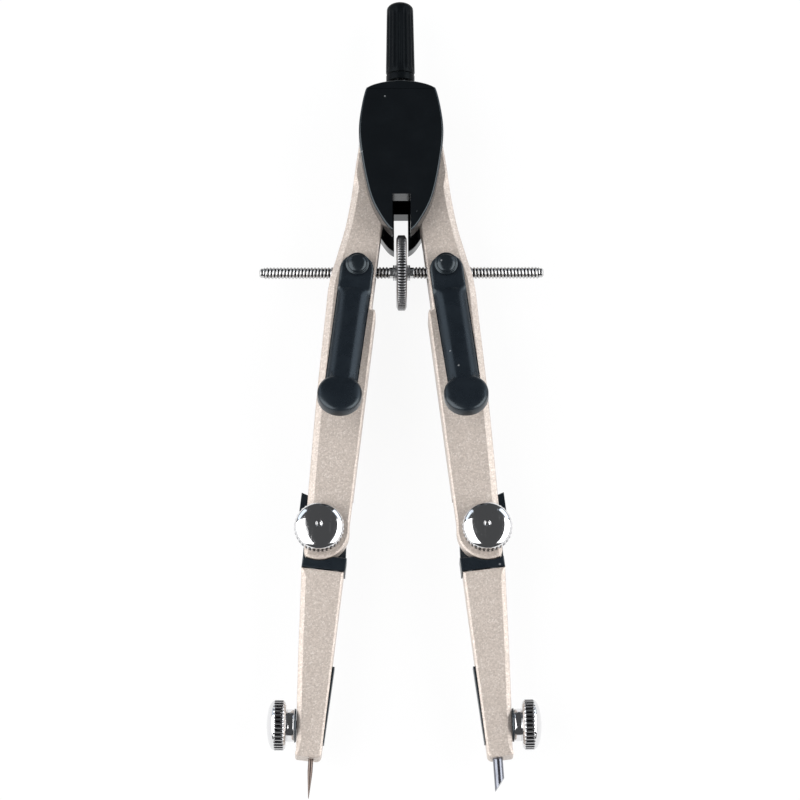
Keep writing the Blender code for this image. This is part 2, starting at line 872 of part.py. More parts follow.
def make_nut(label, side, frame):
    """Half nut in a carrier that turns in the leg, so that it stays square to the spindle."""
    place = Vector((*leg_points(side, [(nut_across, spindle_drop)])[0], 0))
    axis = empty(f"{label}_nut_axis", place, -side * rest_opening, parent=frame)
    carrier = node(
        f"{label}_nut_carrier", rod(carrier_radius, carrier_low, carrier_high), (BRASS, 0.4, 1), axis
    )
    cut(carrier, rod(nut_radius + turning_gap, 0, carrier_high + overrun))
    bore = rod(nut_groove_radius, -carrier_radius - overrun, carrier_radius + overrun)
    cut(carrier, bore, aimed((1, 0, 0)))
    nut = node(f"{label}_half_nut", rod(nut_radius, nut_foot, nut_top), (BRASS, 0.35, 1), axis)
    groove = rod(nut_groove_radius, -nut_radius - overrun, nut_radius + overrun)
    cut(nut, groove, aimed((1, 0, 0)))
    join(nut, rod(nut_stem_radius, nut_top - seat_gap, cap_low - seat_gap))
    cap = turned(disc_dome(cap_radius, cap_low, cap_low + cap_rim, cap_dome))
    node(f"{label}_stud_cap", cap, (BLACK, 0.15, 0), axis)


# Knees

block_inner = -0.0003
block_end = 0.0971
block_top_radius = 0.0083
block_top_span = (radians(127), radians(69.5))  # inner to outer end of the block's rounded top
block_top_steps = 6
tab_across = 0.0105
tab_rise = 0.0083  # the tab's pointed corner, above the knee's centre
tab_length = 0.0052
lap_radius = hypot(tab_across - knee_across, tab_rise) + 2 * moving_gap  # free of the leg's rear half
waist_across = 0.00885
waist_rise = 0.0003  # above the knee's centre
block_outer = 0.00855
shoulder_top = 0.0943
block_half_thickness = 0.0030
tenon_inner = 0.0020
tenon_outer = 0.0058
tenon_end = 0.1040
tenon_half_thickness = 0.0017
knee_nut_half_width = 0.0022
knee_nut_thickness = 0.0013
knob_radius = 0.00505
knob_teeth = 36
knob_knurl_depth = 0.00022
knob_edge = 0.0003
knob_foot_radius = 0.0044
knob_rim = 0.0023
knob_dome = 0.0011
knob_dimple_radius = 0.0009
knob_dimple = 0.0004
dome_steps = 3


def knob_profile(low):
    """Knurled rim from low upwards, then a dome with a small dimple: (radius, height, groove)."""
    top = low + knob_rim
    crown = knob_radius - 2 * knob_edge
    dome = [
        (crown * cos(turn), top + knob_edge + knob_dome * sin(turn), 0)
        for turn in spread(0, pi / 2, dome_steps)[:-1]
    ]
    peak = top + knob_edge + knob_dome
    return [
        (knob_foot_radius, low, 0),
        (knob_radius, low + 2 * knob_edge, knob_knurl_depth),
        (knob_radius, top, knob_knurl_depth),
        *dome,
        (knob_dimple_radius, peak, 0),
        (knob_dimple_radius / 2, peak - knob_dimple, 0),
    ]


def make_knee(label, side, frame):
    """The block's rear half laps behind the leg, and its lower end enters the lower leg."""
    place = Vector((*leg_points(side, [(knee_across, knee_drop)])[0], 0))
    axis = empty(f"{label}_knee_axis", place, parent=frame)
    back = Matrix.Translation(-place)
    top = [
        (knee_across + block_top_radius * cos(turn), knee_drop - block_top_radius * sin(turn))
        for turn in spread(*block_top_span, block_top_steps)
    ]
    outline = [
        (block_inner, block_end),
        *top,
        (tab_across, knee_drop - tab_rise),
        (tab_across, knee_drop - tab_rise + tab_length),
        (waist_across, knee_drop - waist_rise),
        (block_outer, block_end),
    ]
    shape = slab(leg_points(side, outline), -block_half_thickness, lap_face - seat_gap / 2, arm_round, 0)
    block = node(f"{label}_knee_block", shape, (BLACK, 0.4, 0), axis, back)
    shoulder = [
        (block_inner, block_end),
        (block_inner, shoulder_top),
        (block_outer, shoulder_top),
        (block_outer, block_end),
    ]
    strip = slab(leg_points(side, shoulder), -block_half_thickness / 2, block_half_thickness)
    join(block, strip)
    clear = rod(knee_disc_radius + moving_gap, lap_face - seat_gap / 2, 2 * block_half_thickness)
    cut(block, clear, Matrix.Translation(place))
    tenon = [
        (tenon_inner, block_end - moving_gap),
        (tenon_outer, block_end - moving_gap),
        (tenon_outer, tenon_end),
        (tenon_inner, tenon_end),
    ]
    join(block, slab(leg_points(side, tenon), -tenon_half_thickness, tenon_half_thickness))
    bore = rod(knee_screw_radius + turning_gap, -block_half_thickness - overrun, overrun)
    cut(block, bore, Matrix.Translation(place))
    half = knee_nut_half_width
    low = -block_half_thickness + seat_gap
    pocket = box(
        (-half - seat_gap, -half - seat_gap, low - overrun),
        (half + seat_gap, half + seat_gap, low + knee_nut_thickness + seat_gap),
    )
    cut(block, pocket, Matrix.Translation(place))
    nut = node(
        f"{label}_knee_nut",
        box((-half, -half, low), (half, half, low + knee_nut_thickness)),
        (STEEL, 0.4, 1),
        axis,
    )
    cut(nut, rod(knee_screw_radius + turning_gap, low - overrun, low + overrun + knee_nut_thickness))
    foot = half_thickness(knee_drop) + seat_gap
    screw = node(f"{label}_knee_screw", knurled(knob_profile(foot), knob_teeth), (CHROME, 0.12, 1), axis)
    shank = rod(knee_screw_radius, low + seat_gap, foot + knob_edge)
    join(screw, shank)
    return axis, back


# Lower legs

lower_top = 0.0973
lower_outer = [(0.0085, 0.0973), (0.00693, 0.1159), (0.00614, 0.1241), (0.0051, 0.1343)]
lower_end = 0.1356
end_round = 0.0009
lower_half_thickness_top = 0.0031
lower_half_thickness_end = 0.0021
lower_wall = 0.0012
lower_hollow_foot = 0.1130
tip_across = 0.0020
tip_tilt = radians(3.5)
socket_top = 0.1145
tip_top = 0.1172
socket_gap = 0.0001
liner_top = 0.1165
liner_foot = 0.1323
liner_depth = 0.0006
liner_half_width = 0.0013
liner_proud_top = 0.00050
liner_proud_foot = 0.00025
clamp_drop = 0.1291
clamp_shank_radius = 0.0012
clamp_collar_radius = 0.0034
clamp_collar_thickness = 0.00035
clamp_neck_radius = 0.00325
clamp_neck = 0.00155
clamp_collar_gap = 0.0001

# Points
needle_radius = 0.0005
needle_taper = 0.0055
needle_reach = 0.1436
needle_tip_radius = 0.00006
lead_radius = 0.0010
lead_reach = 0.1423
lead_bevel = 0.0027


def lower_half_thickness(w):
    share = (w - lower_top) / (lower_end - lower_top)
    return lower_half_thickness_top + share * (lower_half_thickness_end - lower_half_thickness_top)


def tip_frame(side):
    """Z runs down the needle or the lead, from the end of the lower leg."""
    x, y = leg_points(side, [(tip_across, lower_end)])[0]
    return aimed((-side * sin(tip_tilt), -cos(tip_tilt), 0), (x, y, 0))


def clamp_frame(side):
    """Z runs outwards along the clamp screw, from the leg's outer edge."""
    (u0, w0), (u1, w1) = lower_outer[-2:]
    slope = atan2(u0 - u1, w1 - w0)
    x, y = leg_points(side, [(width_at(lower_outer, clamp_drop), clamp_drop)])[0]
    return aimed((side * cos(slope), -sin(slope), 0), (x, y, 0))


def make_lower_leg(label, side, axis, back, bore, screw_reach_in):
    outline = [
        (0, lower_top),
        *lower_outer,
        (lower_outer[-1][0] - end_round, lower_end),
        (end_round, lower_end),
        (0, lower_end - end_round),
    ]
    shape = slab(leg_points(side, outline), -leg_half_thickness, leg_half_thickness)
    rounded_rims(shape, side, lower_outer)
    leg = node(
        f"{label}_lower_leg", thinned(shape, lower_half_thickness), (PAINT, 0.45, 0.6), axis, back
    )
    hollow = [
        (lower_wall, lower_top - overrun),
        (lower_outer[0][0] - lower_wall, lower_top - overrun),
        (width_at(lower_outer, lower_hollow_foot) - lower_wall, lower_hollow_foot),
        (lower_wall, lower_hollow_foot),
    ]
    depth = leg_half_thickness - face_wall
    cut(leg, thinned(slab(leg_points(side, hollow), -2 * leg_half_thickness, depth), lower_half_thickness))
    cut(leg, rod(bore, socket_top - lower_end, overrun, round_sides // 2), tip_frame(side))
    slot = [
        (-overrun, liner_top - seat_gap),
        (liner_depth + seat_gap, liner_top - seat_gap),
        (liner_depth + seat_gap, liner_foot + seat_gap),
        (-overrun, liner_foot + seat_gap),
    ]
    half = liner_half_width + seat_gap
    cut(leg, slab(leg_points(side, slot), -half, half))
    liner = [
        (-liner_proud_top, liner_top),
        (liner_depth, liner_top),
        (liner_depth, liner_foot),
        (-liner_proud_foot, liner_foot),
    ]
    node(
        f"{label}_clamp_liner",
        slab(leg_points(side, liner), -liner_half_width, liner_half_width),
        (BLACK, 0.45, 0),
        axis,
        back,
    )
    hold = clamp_frame(side)
    cut(leg, rod(clamp_shank_radius + turning_gap, -screw_reach_in - seat_gap, overrun), hold)
    collar_top = clamp_collar_gap + clamp_collar_thickness
    collar = tube(clamp_collar_radius, clamp_shank_radius + turning_gap, clamp_collar_gap, collar_top)
    node(f"{label}_clamp_collar", collar, (BLACK, 0.4, 0), axis, back @ hold)
    neck_foot = collar_top + clamp_collar_gap
    knob = knurled(knob_profile(neck_foot + clamp_neck), knob_teeth)
    screw = node(f"{label}_clamp_screw", knob, (CHROME, 0.12, 1), axis, back @ hold)
    join(screw, rod(clamp_neck_radius, neck_foot, neck_foot + clamp_neck + knob_edge))
    join(screw, rod(clamp_shank_radius, -screw_reach_in, neck_foot + knob_edge, round_sides // 2))


def make_needle(axis, back, side):
    top = tip_top - lower_end
    reach = needle_reach - lower_end
    profile = [
        (needle_radius, top),
        (needle_radius, reach - needle_taper),
        (needle_tip_radius, reach),
    ]
    node("needle", turned(profile, round_sides // 2), (STEEL, 0.25, 1), axis, back @ tip_frame(side))


def make_lead(axis, back, side):
    """The lead is ground to a slope on its outer side, which leaves the point on the inner side."""
    top = tip_top - lower_end
    reach = lead_reach - lower_end
    lead = node("lead", rod(lead_radius, top, reach), (GRAPHITE, 0.5, 0.2), axis, back @ tip_frame(side))
    slope = atan2(2 * lead_radius, lead_bevel)
    wedge = box((-overrun, -overrun, 0), (overrun, overrun, 2 * overrun))
    outer = tip_frame(side).inverted().to_3x3() @ Vector((side, 0, 0))
    edge = Vector((outer.x, outer.y, 0)).normalized()
    normal = edge * cos(slope) + Vector((0, 0, 1)) * sin(slope)
    cut(lead, wedge, aimed(normal, edge * -lead_radius + Vector((0, 0, reach))))


def make_leg(label, side, parent):
    frame = empty(f"{label}_leg_axis", (side * pivot_half_spacing, 0, 0), side * rest_opening, parent)
    make_upper_leg(label, side, frame)
    make_nut(label, side, frame)
    make_lever(label, side, frame)
    axis, back = make_knee(label, side, frame)
    radius = needle_radius if side < 0 else lead_radius
    depth = width_at(lower_outer, clamp_drop) - tip_across - tan(tip_tilt) * (lower_end - clamp_drop) - radius
    make_lower_leg(label, side, axis, back, radius + socket_gap, depth - seat_gap)
    if side < 0:
        make_needle(axis, back, side)
    else:
        make_lead(axis, back, side)


def main():
    clear_scene()
    head = empty("head_frame", (0, pivot_y, mid_z))
    make_head(head)
    make_handle(head)
    for side, label in ((-1, "left"), (1, "right")):
        make_leg(label, side, head)
    along = hypot(spindle_drop, nut_across - pivot_across)
    sweep = rest_opening + atan2(nut_across - pivot_across, spindle_drop)
    make_spindle(empty("spindle_axis", (0, -along * cos(sweep), 0), parent=head))


main()
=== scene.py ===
"""Looks of the quick-setting bow compass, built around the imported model."""

from math import atan2, cos, pi, radians, sin

import bpy
import numpy as np
from mathutils import Matrix, Vector


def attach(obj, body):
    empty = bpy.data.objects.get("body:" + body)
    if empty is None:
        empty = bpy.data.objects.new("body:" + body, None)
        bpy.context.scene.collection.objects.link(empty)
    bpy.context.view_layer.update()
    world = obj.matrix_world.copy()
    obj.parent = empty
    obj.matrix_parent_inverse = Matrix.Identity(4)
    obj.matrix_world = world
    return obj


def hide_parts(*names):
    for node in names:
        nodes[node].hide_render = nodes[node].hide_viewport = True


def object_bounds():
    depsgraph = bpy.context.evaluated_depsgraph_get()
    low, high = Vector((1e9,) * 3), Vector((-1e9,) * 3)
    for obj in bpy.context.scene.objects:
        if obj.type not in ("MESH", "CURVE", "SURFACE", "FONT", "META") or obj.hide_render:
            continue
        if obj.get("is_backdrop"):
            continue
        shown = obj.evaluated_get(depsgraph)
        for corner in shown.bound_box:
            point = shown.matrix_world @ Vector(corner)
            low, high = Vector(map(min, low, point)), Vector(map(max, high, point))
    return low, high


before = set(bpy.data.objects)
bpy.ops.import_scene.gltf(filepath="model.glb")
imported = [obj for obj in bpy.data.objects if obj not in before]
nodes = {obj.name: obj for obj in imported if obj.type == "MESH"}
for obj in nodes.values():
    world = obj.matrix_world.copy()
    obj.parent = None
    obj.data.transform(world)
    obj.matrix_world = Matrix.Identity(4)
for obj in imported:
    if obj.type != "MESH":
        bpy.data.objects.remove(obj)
cad_low, cad_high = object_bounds()

# Head covers. Two black mouldings, screwed together from behind over the toothed tops of the
# legs. The front one is a plain shield with a soft rim, slotted from below for the wheel, and its
# face is left bare.

pivot_height = 0.0578
mid_height = 0.0079
pivot_half_spacing = 0.0042
head_gap = 0.0082
cover_points = [
    (0, 0.0069), (0.0028, 0.00665), (0.0052, 0.0061), (0.0067, 0.00545), (0.00728, 0.0048),
    (0.00803, 0.0017), (0.00865, -0.0028), (0.00854, -0.0070), (0.00753, -0.0138), (0.0063, -0.0189),
    (0.00458, -0.0226), (0.0025, -0.0256), (0, -0.0270),
]
cover_rim = 0.0005
hidden_cover_rim = 0.0002
cover_wall = 0.0016
cavity_side = [
    (0.0057, 0.0032), (0.00643, 0.0017), (0.00705, -0.0028), (0.00694, -0.0070), (0.00593, -0.0120),
]
slot_top = -0.0182
slot_foot = -0.029
boss_radius = 0.0029
boss_setback = 0.0008
pivot_screw_bore = 0.0015
blind_bore_end = 0.0064
screw_seat_radius = 0.0026
screw_seat_depth = 0.0022
cut_past = 0.002


def curve_through(points, steps):
    """A smooth curve: each span is a cubic whose slope at a point is half the line between that
    point's two neighbours."""
    p = np.array([points[0], *points, points[-1]], float)
    a, b, c, d = p[:-3, None], p[1:-2, None], p[2:-1, None], p[3:, None]
    t = (np.arange(steps) / steps)[None, :, None]
    spans = b + t * (c - a) / 2 + t**2 * (2 * a - 5 * b + 4 * c - d) / 2
    spans = spans + t**3 * (3 * b - a - 3 * c + d) / 2
    return np.vstack([spans.reshape(-1, 2), p[-1:]])


def inset(loop, distance):
    """Moves each point of a closed loop inwards along the bisector of its two edges, by distance
    over the cosine of half their turn, so that edges stay parallel."""
    ahead = np.roll(loop, -1, 0) - loop
    ahead = ahead / np.linalg.norm(ahead, axis=1, keepdims=True)
    turn = np.sign(np.sum(loop[:, 0] * np.roll(loop[:, 1], -1) - loop[:, 1] * np.roll(loop[:, 0], -1)))
    inward = turn * np.stack([-ahead[:, 1], ahead[:, 0]], 1)
    behind = np.roll(inward, 1, 0)
    middle = inward + behind
    middle = middle / np.linalg.norm(middle, axis=1, keepdims=True)
    reach = np.asarray(distance) / np.maximum(0.5, np.sum(middle * inward, 1))
    return loop + middle * np.broadcast_to(reach, len(loop))[:, None]


def sheet_of(name, grid):
    """A mesh from a grid of points (rows, columns round, 3): a face between each four neighbours,
    the last column joined to the first, and a flat face on the first and last rows."""
    rows, columns = grid.shape[:2]
    here = np.arange(rows * columns).reshape(rows, columns)
    after = np.roll(here, -1, 1)
    faces = np.stack([here[:-1], after[:-1], after[1:], here[1:]], -1).reshape(-1, 4).tolist()
    faces += [here[0, ::-1].tolist(), here[-1].tolist()]
    mesh = bpy.data.meshes.new(name)
    mesh.from_pydata(grid.reshape(-1, 3).tolist(), [], faces)
    if volume_sign(mesh) < 0:
        mesh.flip_normals()
    made = bpy.data.objects.new(name, mesh)
    bpy.context.collection.objects.link(made)
    return made


def volume_sign(mesh):
    """Six times the enclosed volume: the sum over the triangles of a . (b x c)."""
    mesh.calc_loop_triangles()
    corners = np.empty(len(mesh.vertices) * 3)
    mesh.vertices.foreach_get("co", corners)
    index = np.empty(len(mesh.loop_triangles) * 3, np.int32)
    mesh.loop_triangles.foreach_get("vertices", index)
    a, b, c = corners.reshape(-1, 3)[index.reshape(-1, 3)].transpose(1, 0, 2)
    return np.sum(a * np.cross(b, c))


quarter_round = [(1 - cos(turn), 1 - sin(turn)) for turn in np.linspace(0, pi / 2, 7)]


def plate(name, loop, low, high, rim_low=0, rim_high=0, rim_shape=quarter_round):
    """Rings of one loop: up the side from low to high, drawn in along the rim's shape, which is
    a list of (inwards, down) shares of the rim's width. low and high are numbers or laws of the
    ring's points, and the rims' widths are numbers or one value a point."""
    rings = []
    for rim, level, way in ((rim_low, low, -1), (rim_high, high, 1)):
        steps = []
        for inwards, drop in rim_shape if np.any(rim) else [(0, 0)]:
            points = inset(loop, np.asarray(rim) * inwards)
            face = level(points) if callable(level) else np.full(len(loop), level)
            steps.append(np.column_stack([points, face - way * np.asarray(rim) * drop]))
        rings += steps[::-1] if way < 0 else steps
    return sheet_of(name, np.array(rings))


def carve(piece, cutters, operation="DIFFERENCE"):
    """Cuts the cutters from the piece, or joins them to it, and keeps only the result."""
    for cutter in cutters:
        step = piece.modifiers.new(cutter.name, "BOOLEAN")
        step.operation = operation
        step.solver = "EXACT"
        step.object = cutter
    graph = bpy.context.evaluated_depsgraph_get()
    result = bpy.data.meshes.new_from_object(piece.evaluated_get(graph))
    piece.modifiers.clear()
    piece.data = result
    for cutter in cutters:
        bpy.data.objects.remove(cutter, do_unlink=True)


def give(mesh, looks):
    """One material for a mesh, in place of those it has."""
    mesh.materials.clear()
    mesh.materials.append(looks)


def set_down(piece, local, body, node, looks, crease=32):
    """Puts a piece drawn in local coordinates (a 4 x 4 matrix to the shared frame) on its body in
    place of its CAD node, smooth except where faces meet at more than crease degrees."""
    piece.data.transform(local)
    if volume_sign(piece.data) < 0:
        piece.data.flip_normals()
    give(piece.data, looks)
    piece.data.shade_smooth()
    piece.data.set_sharp_from_angle(angle=radians(crease))
    even = piece.modifiers.new("Even flats", "WEIGHTED_NORMAL")
    even.keep_sharp = True
    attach(piece, body)
    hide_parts(node)


def disc(name, radius, low, high, centre=(0, 0), sides=64):
    """An upright round column: (x + r cos t, y + r sin t) about its centre, from low to high."""
    turns = np.arange(sides) * 2 * pi / sides
    loop = np.stack([centre[0] + radius * np.cos(turns), centre[1] + radius * np.sin(turns)], 1)
    return plate(name, loop, low, high)


def block(name, low, high):
    """An upright block between two opposite corners."""
    loop = np.array([(low[0], low[1]), (high[0], low[1]), (high[0], high[1]), (low[0], high[1])])
    return plate(name, loop, low[2], high[2])


def link(tree, kind, values=None, **settings):
    """A shader node with its settings; a value is a number or colour, or the socket it comes from."""
    made = tree.nodes.new(kind)
    for key, value in settings.items():
        setattr(made, key, value)
    for key, value in (values or {}).items():
        if isinstance(value, bpy.types.NodeSocket):
            tree.links.new(value, made.inputs[key])
        else:
            made.inputs[key].default_value = value
    return made


def maths(tree, operation, first, second):
    """The result of a Math node on two values."""
    return link(tree, "ShaderNodeMath", {0: first, 1: second}, operation=operation).outputs[0]


def noise(tree, place, scale, detail, roughness=0.5):
    """Cloudy noise, with scale clouds to a metre."""
    values = {"Vector": place, "Scale": scale, "Detail": detail, "Roughness": roughness}
    return link(tree, "ShaderNodeTexNoise", values).outputs["Fac"]


def specks(tree, place, scale, size, rarity):
    """Round specks: the middle of a random cell, out to size, in the few cells whose own random
    value is over rarity."""
    cells = link(tree, "ShaderNodeTexVoronoi", {"Vector": place, "Scale": scale})
    near = maths(tree, "LESS_THAN", cells.outputs["Distance"], size)
    value = link(tree, "ShaderNodeSeparateColor", {0: cells.outputs["Color"]}).outputs[0]
    return maths(tree, "MULTIPLY", near, maths(tree, "GREATER_THAN", value, rarity))


def ranged(tree, value, before, after):
    """A value carried evenly from the range before to the range after, and held at its ends."""
    values = {"Value": value, "From Min": before[0], "From Max": before[1]}
    values.update({"To Min": after[0], "To Max": after[1]})
    return link(tree, "ShaderNodeMapRange", values).outputs[0]


def mixed(tree, share, first, second):
    """The colour at a share of the way from first to second, which are sockets 6 and 7 of a Mix
    node in its colour mode."""
    values = {"Factor": share, 6: first, 7: second}
    return link(tree, "ShaderNodeMix", values, data_type="RGBA").outputs[2]


def group_of(name, inputs, outputs):
    """An empty node group with number inputs (name, value) and number outputs (name)."""
    tree = bpy.data.node_groups.new(name, "ShaderNodeTree")
    for label, value in inputs:
        socket = tree.interface.new_socket(label, in_out="INPUT", socket_type="NodeSocketFloat")
        socket.default_value = value
    for label in outputs:
        tree.interface.new_socket(label, in_out="OUTPUT", socket_type="NodeSocketFloat")
    return tree, tree.nodes.new("NodeGroupInput").outputs, tree.nodes.new("NodeGroupOutput").inputs


def moulding_group():
    """Moulded skin: a fine grain as height, a slow unevenness, and a few specks of dust."""
    tree, given, result = group_of(
        "Moulded skin",
        [("Grain size", 0.0002), ("Grain height", 1), ("Dust", 0.5)],
        ["Grain", "Unevenness", "Dust"],
    )
    place = link(tree, "ShaderNodeTexCoord").outputs["Object"]
    grain = noise(tree, place, maths(tree, "DIVIDE", 1.0, given["Grain size"]), detail=3.0)
    slow = noise(tree, place, scale=260.0, detail=4.0, roughness=0.6)
    dust = specks(tree, place, scale=620.0, size=0.13, rarity=0.93)
    tree.links.new(maths(tree, "MULTIPLY", grain, given["Grain height"]), result["Grain"])
    tree.links.new(slow, result["Unevenness"])
    tree.links.new(maths(tree, "MULTIPLY", dust, given["Dust"]), result["Dust"])
    return tree


moulded_skin = moulding_group()
dust_grey = (0.30, 0.31, 0.32, 1)
cool_glint = (0.80, 0.92, 1.0, 1)


def new_material(name):
    """A material, its node tree and its Principled shader."""
    made = bpy.data.materials.new(name)
    made.use_nodes = True
    return made, made.node_tree, made.node_tree.nodes["Principled BSDF"]


def feed(tree, shader, colour, roughness, height, strength, distance):
    """Leads a colour, a roughness, and a height as a bump into the shader."""
    bump = link(tree, "ShaderNodeBump", {"Height": height, "Strength": strength, "Distance": distance})
    tree.links.new(colour, shader.inputs["Base Color"])
    tree.links.new(roughness, shader.inputs["Roughness"])
    tree.links.new(bump.outputs[0], shader.inputs["Normal"])


def black_moulding(name, colour, roughness, grain_size, grain_height, dust, shine=0.5):
    """Black nylon: its colour lifts to 1.7 times where it is uneven, and dust sits on it in specks."""
    made, tree, shader = new_material(name)
    sizes = {"Grain size": grain_size, "Grain height": grain_height, "Dust": dust}
    skin = link(tree, "ShaderNodeGroup", sizes, node_tree=moulded_skin).outputs
    lighter = tuple(1.7 * c for c in colour)
    tone = mixed(tree, skin["Unevenness"], (*colour, 1), (*lighter, 1))
    dusty = mixed(tree, skin["Dust"], tone, dust_grey)
    rough = ranged(tree, skin["Unevenness"], (0.3, 0.7), (roughness - 0.05, roughness + 0.07))
    feed(tree, shader, dusty, rough, skin["Grain"], strength=0.5, distance=0.00003)
    shader.inputs["Specular IOR Level"].default_value = shine
    shader.inputs["Specular Tint"].default_value = cool_glint
    return made


cover_black = black_moulding(
    "cover_black", (0.0026, 0.0033, 0.0041), roughness=0.14, grain_size=0.00018, grain_height=0.6, dust=0.35
)
handle_black = black_moulding(
    "handle_black", (0.0028, 0.0035, 0.0042), roughness=0.34, grain_size=0.00018, grain_height=0.6,
    dust=0.35, shine=0.05,
)
lever_black = black_moulding(
    "lever_black", (0.0050, 0.0072, 0.0100), roughness=0.27, grain_size=0.00025, grain_height=0.5, dust=0.5
)
head = Matrix.Translation((0, pivot_height, mid_height))
half = curve_through(cover_points, steps=14)
cover_loop = np.vstack([half[:-1], (half[1:] * (-1, 1))[::-1]])
cavity = np.array(cavity_side + [(-x, y) for x, y in reversed(cavity_side)])
for name, way, thickness, slot_half in (
    ("front_cover", 1, 0.0042, 0.00185),
    ("rear_cover", -1, 0.0038, 0.00145),
):
    inner = way * head_gap / 2
    outer = inner + way * thickness
    low, high = sorted((inner, outer))
    rims = (hidden_cover_rim, cover_rim)[::way]
    cover = plate(name + "_moulding", cover_loop, low, high, *rims)
    near, far = sorted((inner - way * cut_past, outer - way * cover_wall))
    carve(cover, [
        plate("cavity", cavity, near, far),
        block("slot", (-slot_half, slot_foot, low - cut_past), (slot_half, slot_top, high + cut_past)),
    ])
    boss_ends = sorted((inner, outer - way * boss_setback))
    bosses = []
    bores = []
    for place in ((-pivot_half_spacing, 0), (pivot_half_spacing, 0)):
        bosses.append(disc("boss", boss_radius, *boss_ends, place))
        if way > 0:
            bores.append(disc("bore", pivot_screw_bore, inner - cut_past, blind_bore_end, place))
        else:
            bores.append(disc("bore", pivot_screw_bore, outer - cut_past, inner + cut_past, place))
            bores.append(disc("seat", screw_seat_radius, outer - cut_past, outer + screw_seat_depth, place))
    carve(cover, bosses, "UNION")
    carve(cover, bores)
    set_down(cover, head, "head", name, cover_black)
give(nodes["head_block"].data, cover_black)

# Handle. A fluted black grip that is rolled between finger and thumb, on a smooth collar, with a
# steel stem running down inside into the head.

grip_foot = 0.0111
grip_top = 0.0272
grip_radius = 0.0030
grip_taper = 0.00025
grip_dome = 0.0016
flutes = 18
flute_depth = 0.00016
stem_bore = 0.0015
bore_foot = 0.009
grip_bore_end = 0.0182
collar_bore_end = 0.012


def aimed(way):
    """A turn that points Z along a direction."""
    return way.to_track_quat("Z", "Y").to_matrix().to_4x4()


def mark_painted_shade(made, depth):
    """Stores a share between 0 and 1 for each point, where the metal is darkened with painted shade."""
    made.data.attributes.new("painted_recess_shade", "FLOAT", "POINT").data.foreach_set("value", depth.ravel())


def turned(name, profile, sides=96, groove=None):
    """Radius and height of a profile carried round Z: (r cos t, r sin t, h). A groove is a share
    between 0 and 1 for each angle, and the profile's third value is how deep it cuts there."""
    profile = np.array(profile, float)
    turns = np.arange(sides) * 2 * pi / sides
    radius = np.repeat(profile[:, :1], sides, 1)
    if groove is not None:
        radius = radius - profile[:, 2:3] * groove(turns)[None]
    height = np.repeat(profile[:, 1:2], sides, 1)
    made = sheet_of(name, np.stack([radius * np.cos(turns), radius * np.sin(turns), height], -1))
    # The groove share, scaled by how deep the profile cuts, also marks where painted shade goes.
    if groove is not None:
        mark_painted_shade(made, profile[:, 2:3] / profile[:, 2].max() * groove(turns)[None])
    return made


def rounded(centre, radius, start, end, steps=5):
    """Points (x + r cos t, y + r sin t) round a centre, from one angle to another in degrees."""
    turns = np.radians(np.linspace(start, end, steps + 1))
    return [(centre[0] + radius * cos(t), centre[1] + radius * sin(t)) for t in turns]


upright = head @ aimed(Vector((0, 1, 0)))
heights = np.linspace(0, 1, 30)
barrel = grip_radius - grip_taper * heights
fade = np.clip((heights - 0.02) / 0.10, 0, 1) * np.clip((1 - heights) / 0.12, 0, 1)
up_barrel = grip_foot + heights * (grip_top - grip_dome - grip_foot)
body = np.column_stack([barrel, up_barrel, flute_depth * fade])
dome = [
    ((grip_radius - grip_taper) * cos(a), grip_top - grip_dome * (1 - sin(a)), 0)
    for a in np.radians(range(9, 86, 9))
]
grip = turned(
    "handle_grip_fluted",
    [(grip_radius - 0.0002, grip_foot, 0), *map(tuple, body[1:]), *dome, (0.00015, grip_top, 0)],
    sides=flutes * 10,
    groove=lambda t: (0.5 - 0.5 * np.cos(flutes * t)) ** 1.5,
)
carve(grip, [disc("bore", stem_bore, bore_foot, grip_bore_end)])
set_down(grip, upright, "head", "handle_grip", handle_black)
collar = turned(
    "handle_collar_ring",
    [*rounded((0.00275, 0.00960), 0.00020, -90, 0), *rounded((0.00285, 0.01080), 0.00010, 0, 90)],
)
carve(collar, [disc("bore", stem_bore, bore_foot, collar_bore_end)])
set_down(collar, upright, "head", "handle_collar", handle_black)

# Pivot screws, stem and washers. Small turned steel parts that keep their modelled shape: the two
# screws under the rear cover hold the head together, the stem carries the grip, and a thin washer
# sits on the spindle at each side of the wheel.

# Painted shade: the near-black grey that bare metal is painted with in its thread roots, knurl flutes and
# wheel teeth.
groove_painted_shade = (0.03, 0.03, 0.035, 1)


def scratch_group():
    """Handled metal: hair-fine scratches in two directions, small pits, and a slow smear of
    handling marks."""
    tree, given, result = group_of(
        "Handled metal", [("Scratch size", 0.0004)], ["Scratches", "Pits", "Smear"]
    )
    place = link(tree, "ShaderNodeTexCoord").outputs["Object"]
    per_metre = maths(tree, "DIVIDE", 1.0, given["Scratch size"])
    lines = []
    for turn in ((0.3, 0.2, 0.5), (1.2, 0.9, 2.1)):
        drawn = link(
            tree, "ShaderNodeMapping", {"Vector": place, "Rotation": turn, "Scale": (1.0, 0.06, 1.0)}
        )
        strands = noise(tree, drawn.outputs[0], per_metre, detail=2.0)
        lines.append(ranged(tree, strands, (0.62, 0.72), (0.0, 1.0)))
    pits = specks(tree, place, scale=1500.0, size=0.12, rarity=0.88)
    tree.links.new(maths(tree, "MAXIMUM", *lines), result["Scratches"])
    tree.links.new(pits, result["Pits"])
    tree.links.new(noise(tree, place, scale=320.0, detail=3.0), result["Smear"])
    return tree


handled_metal = scratch_group()


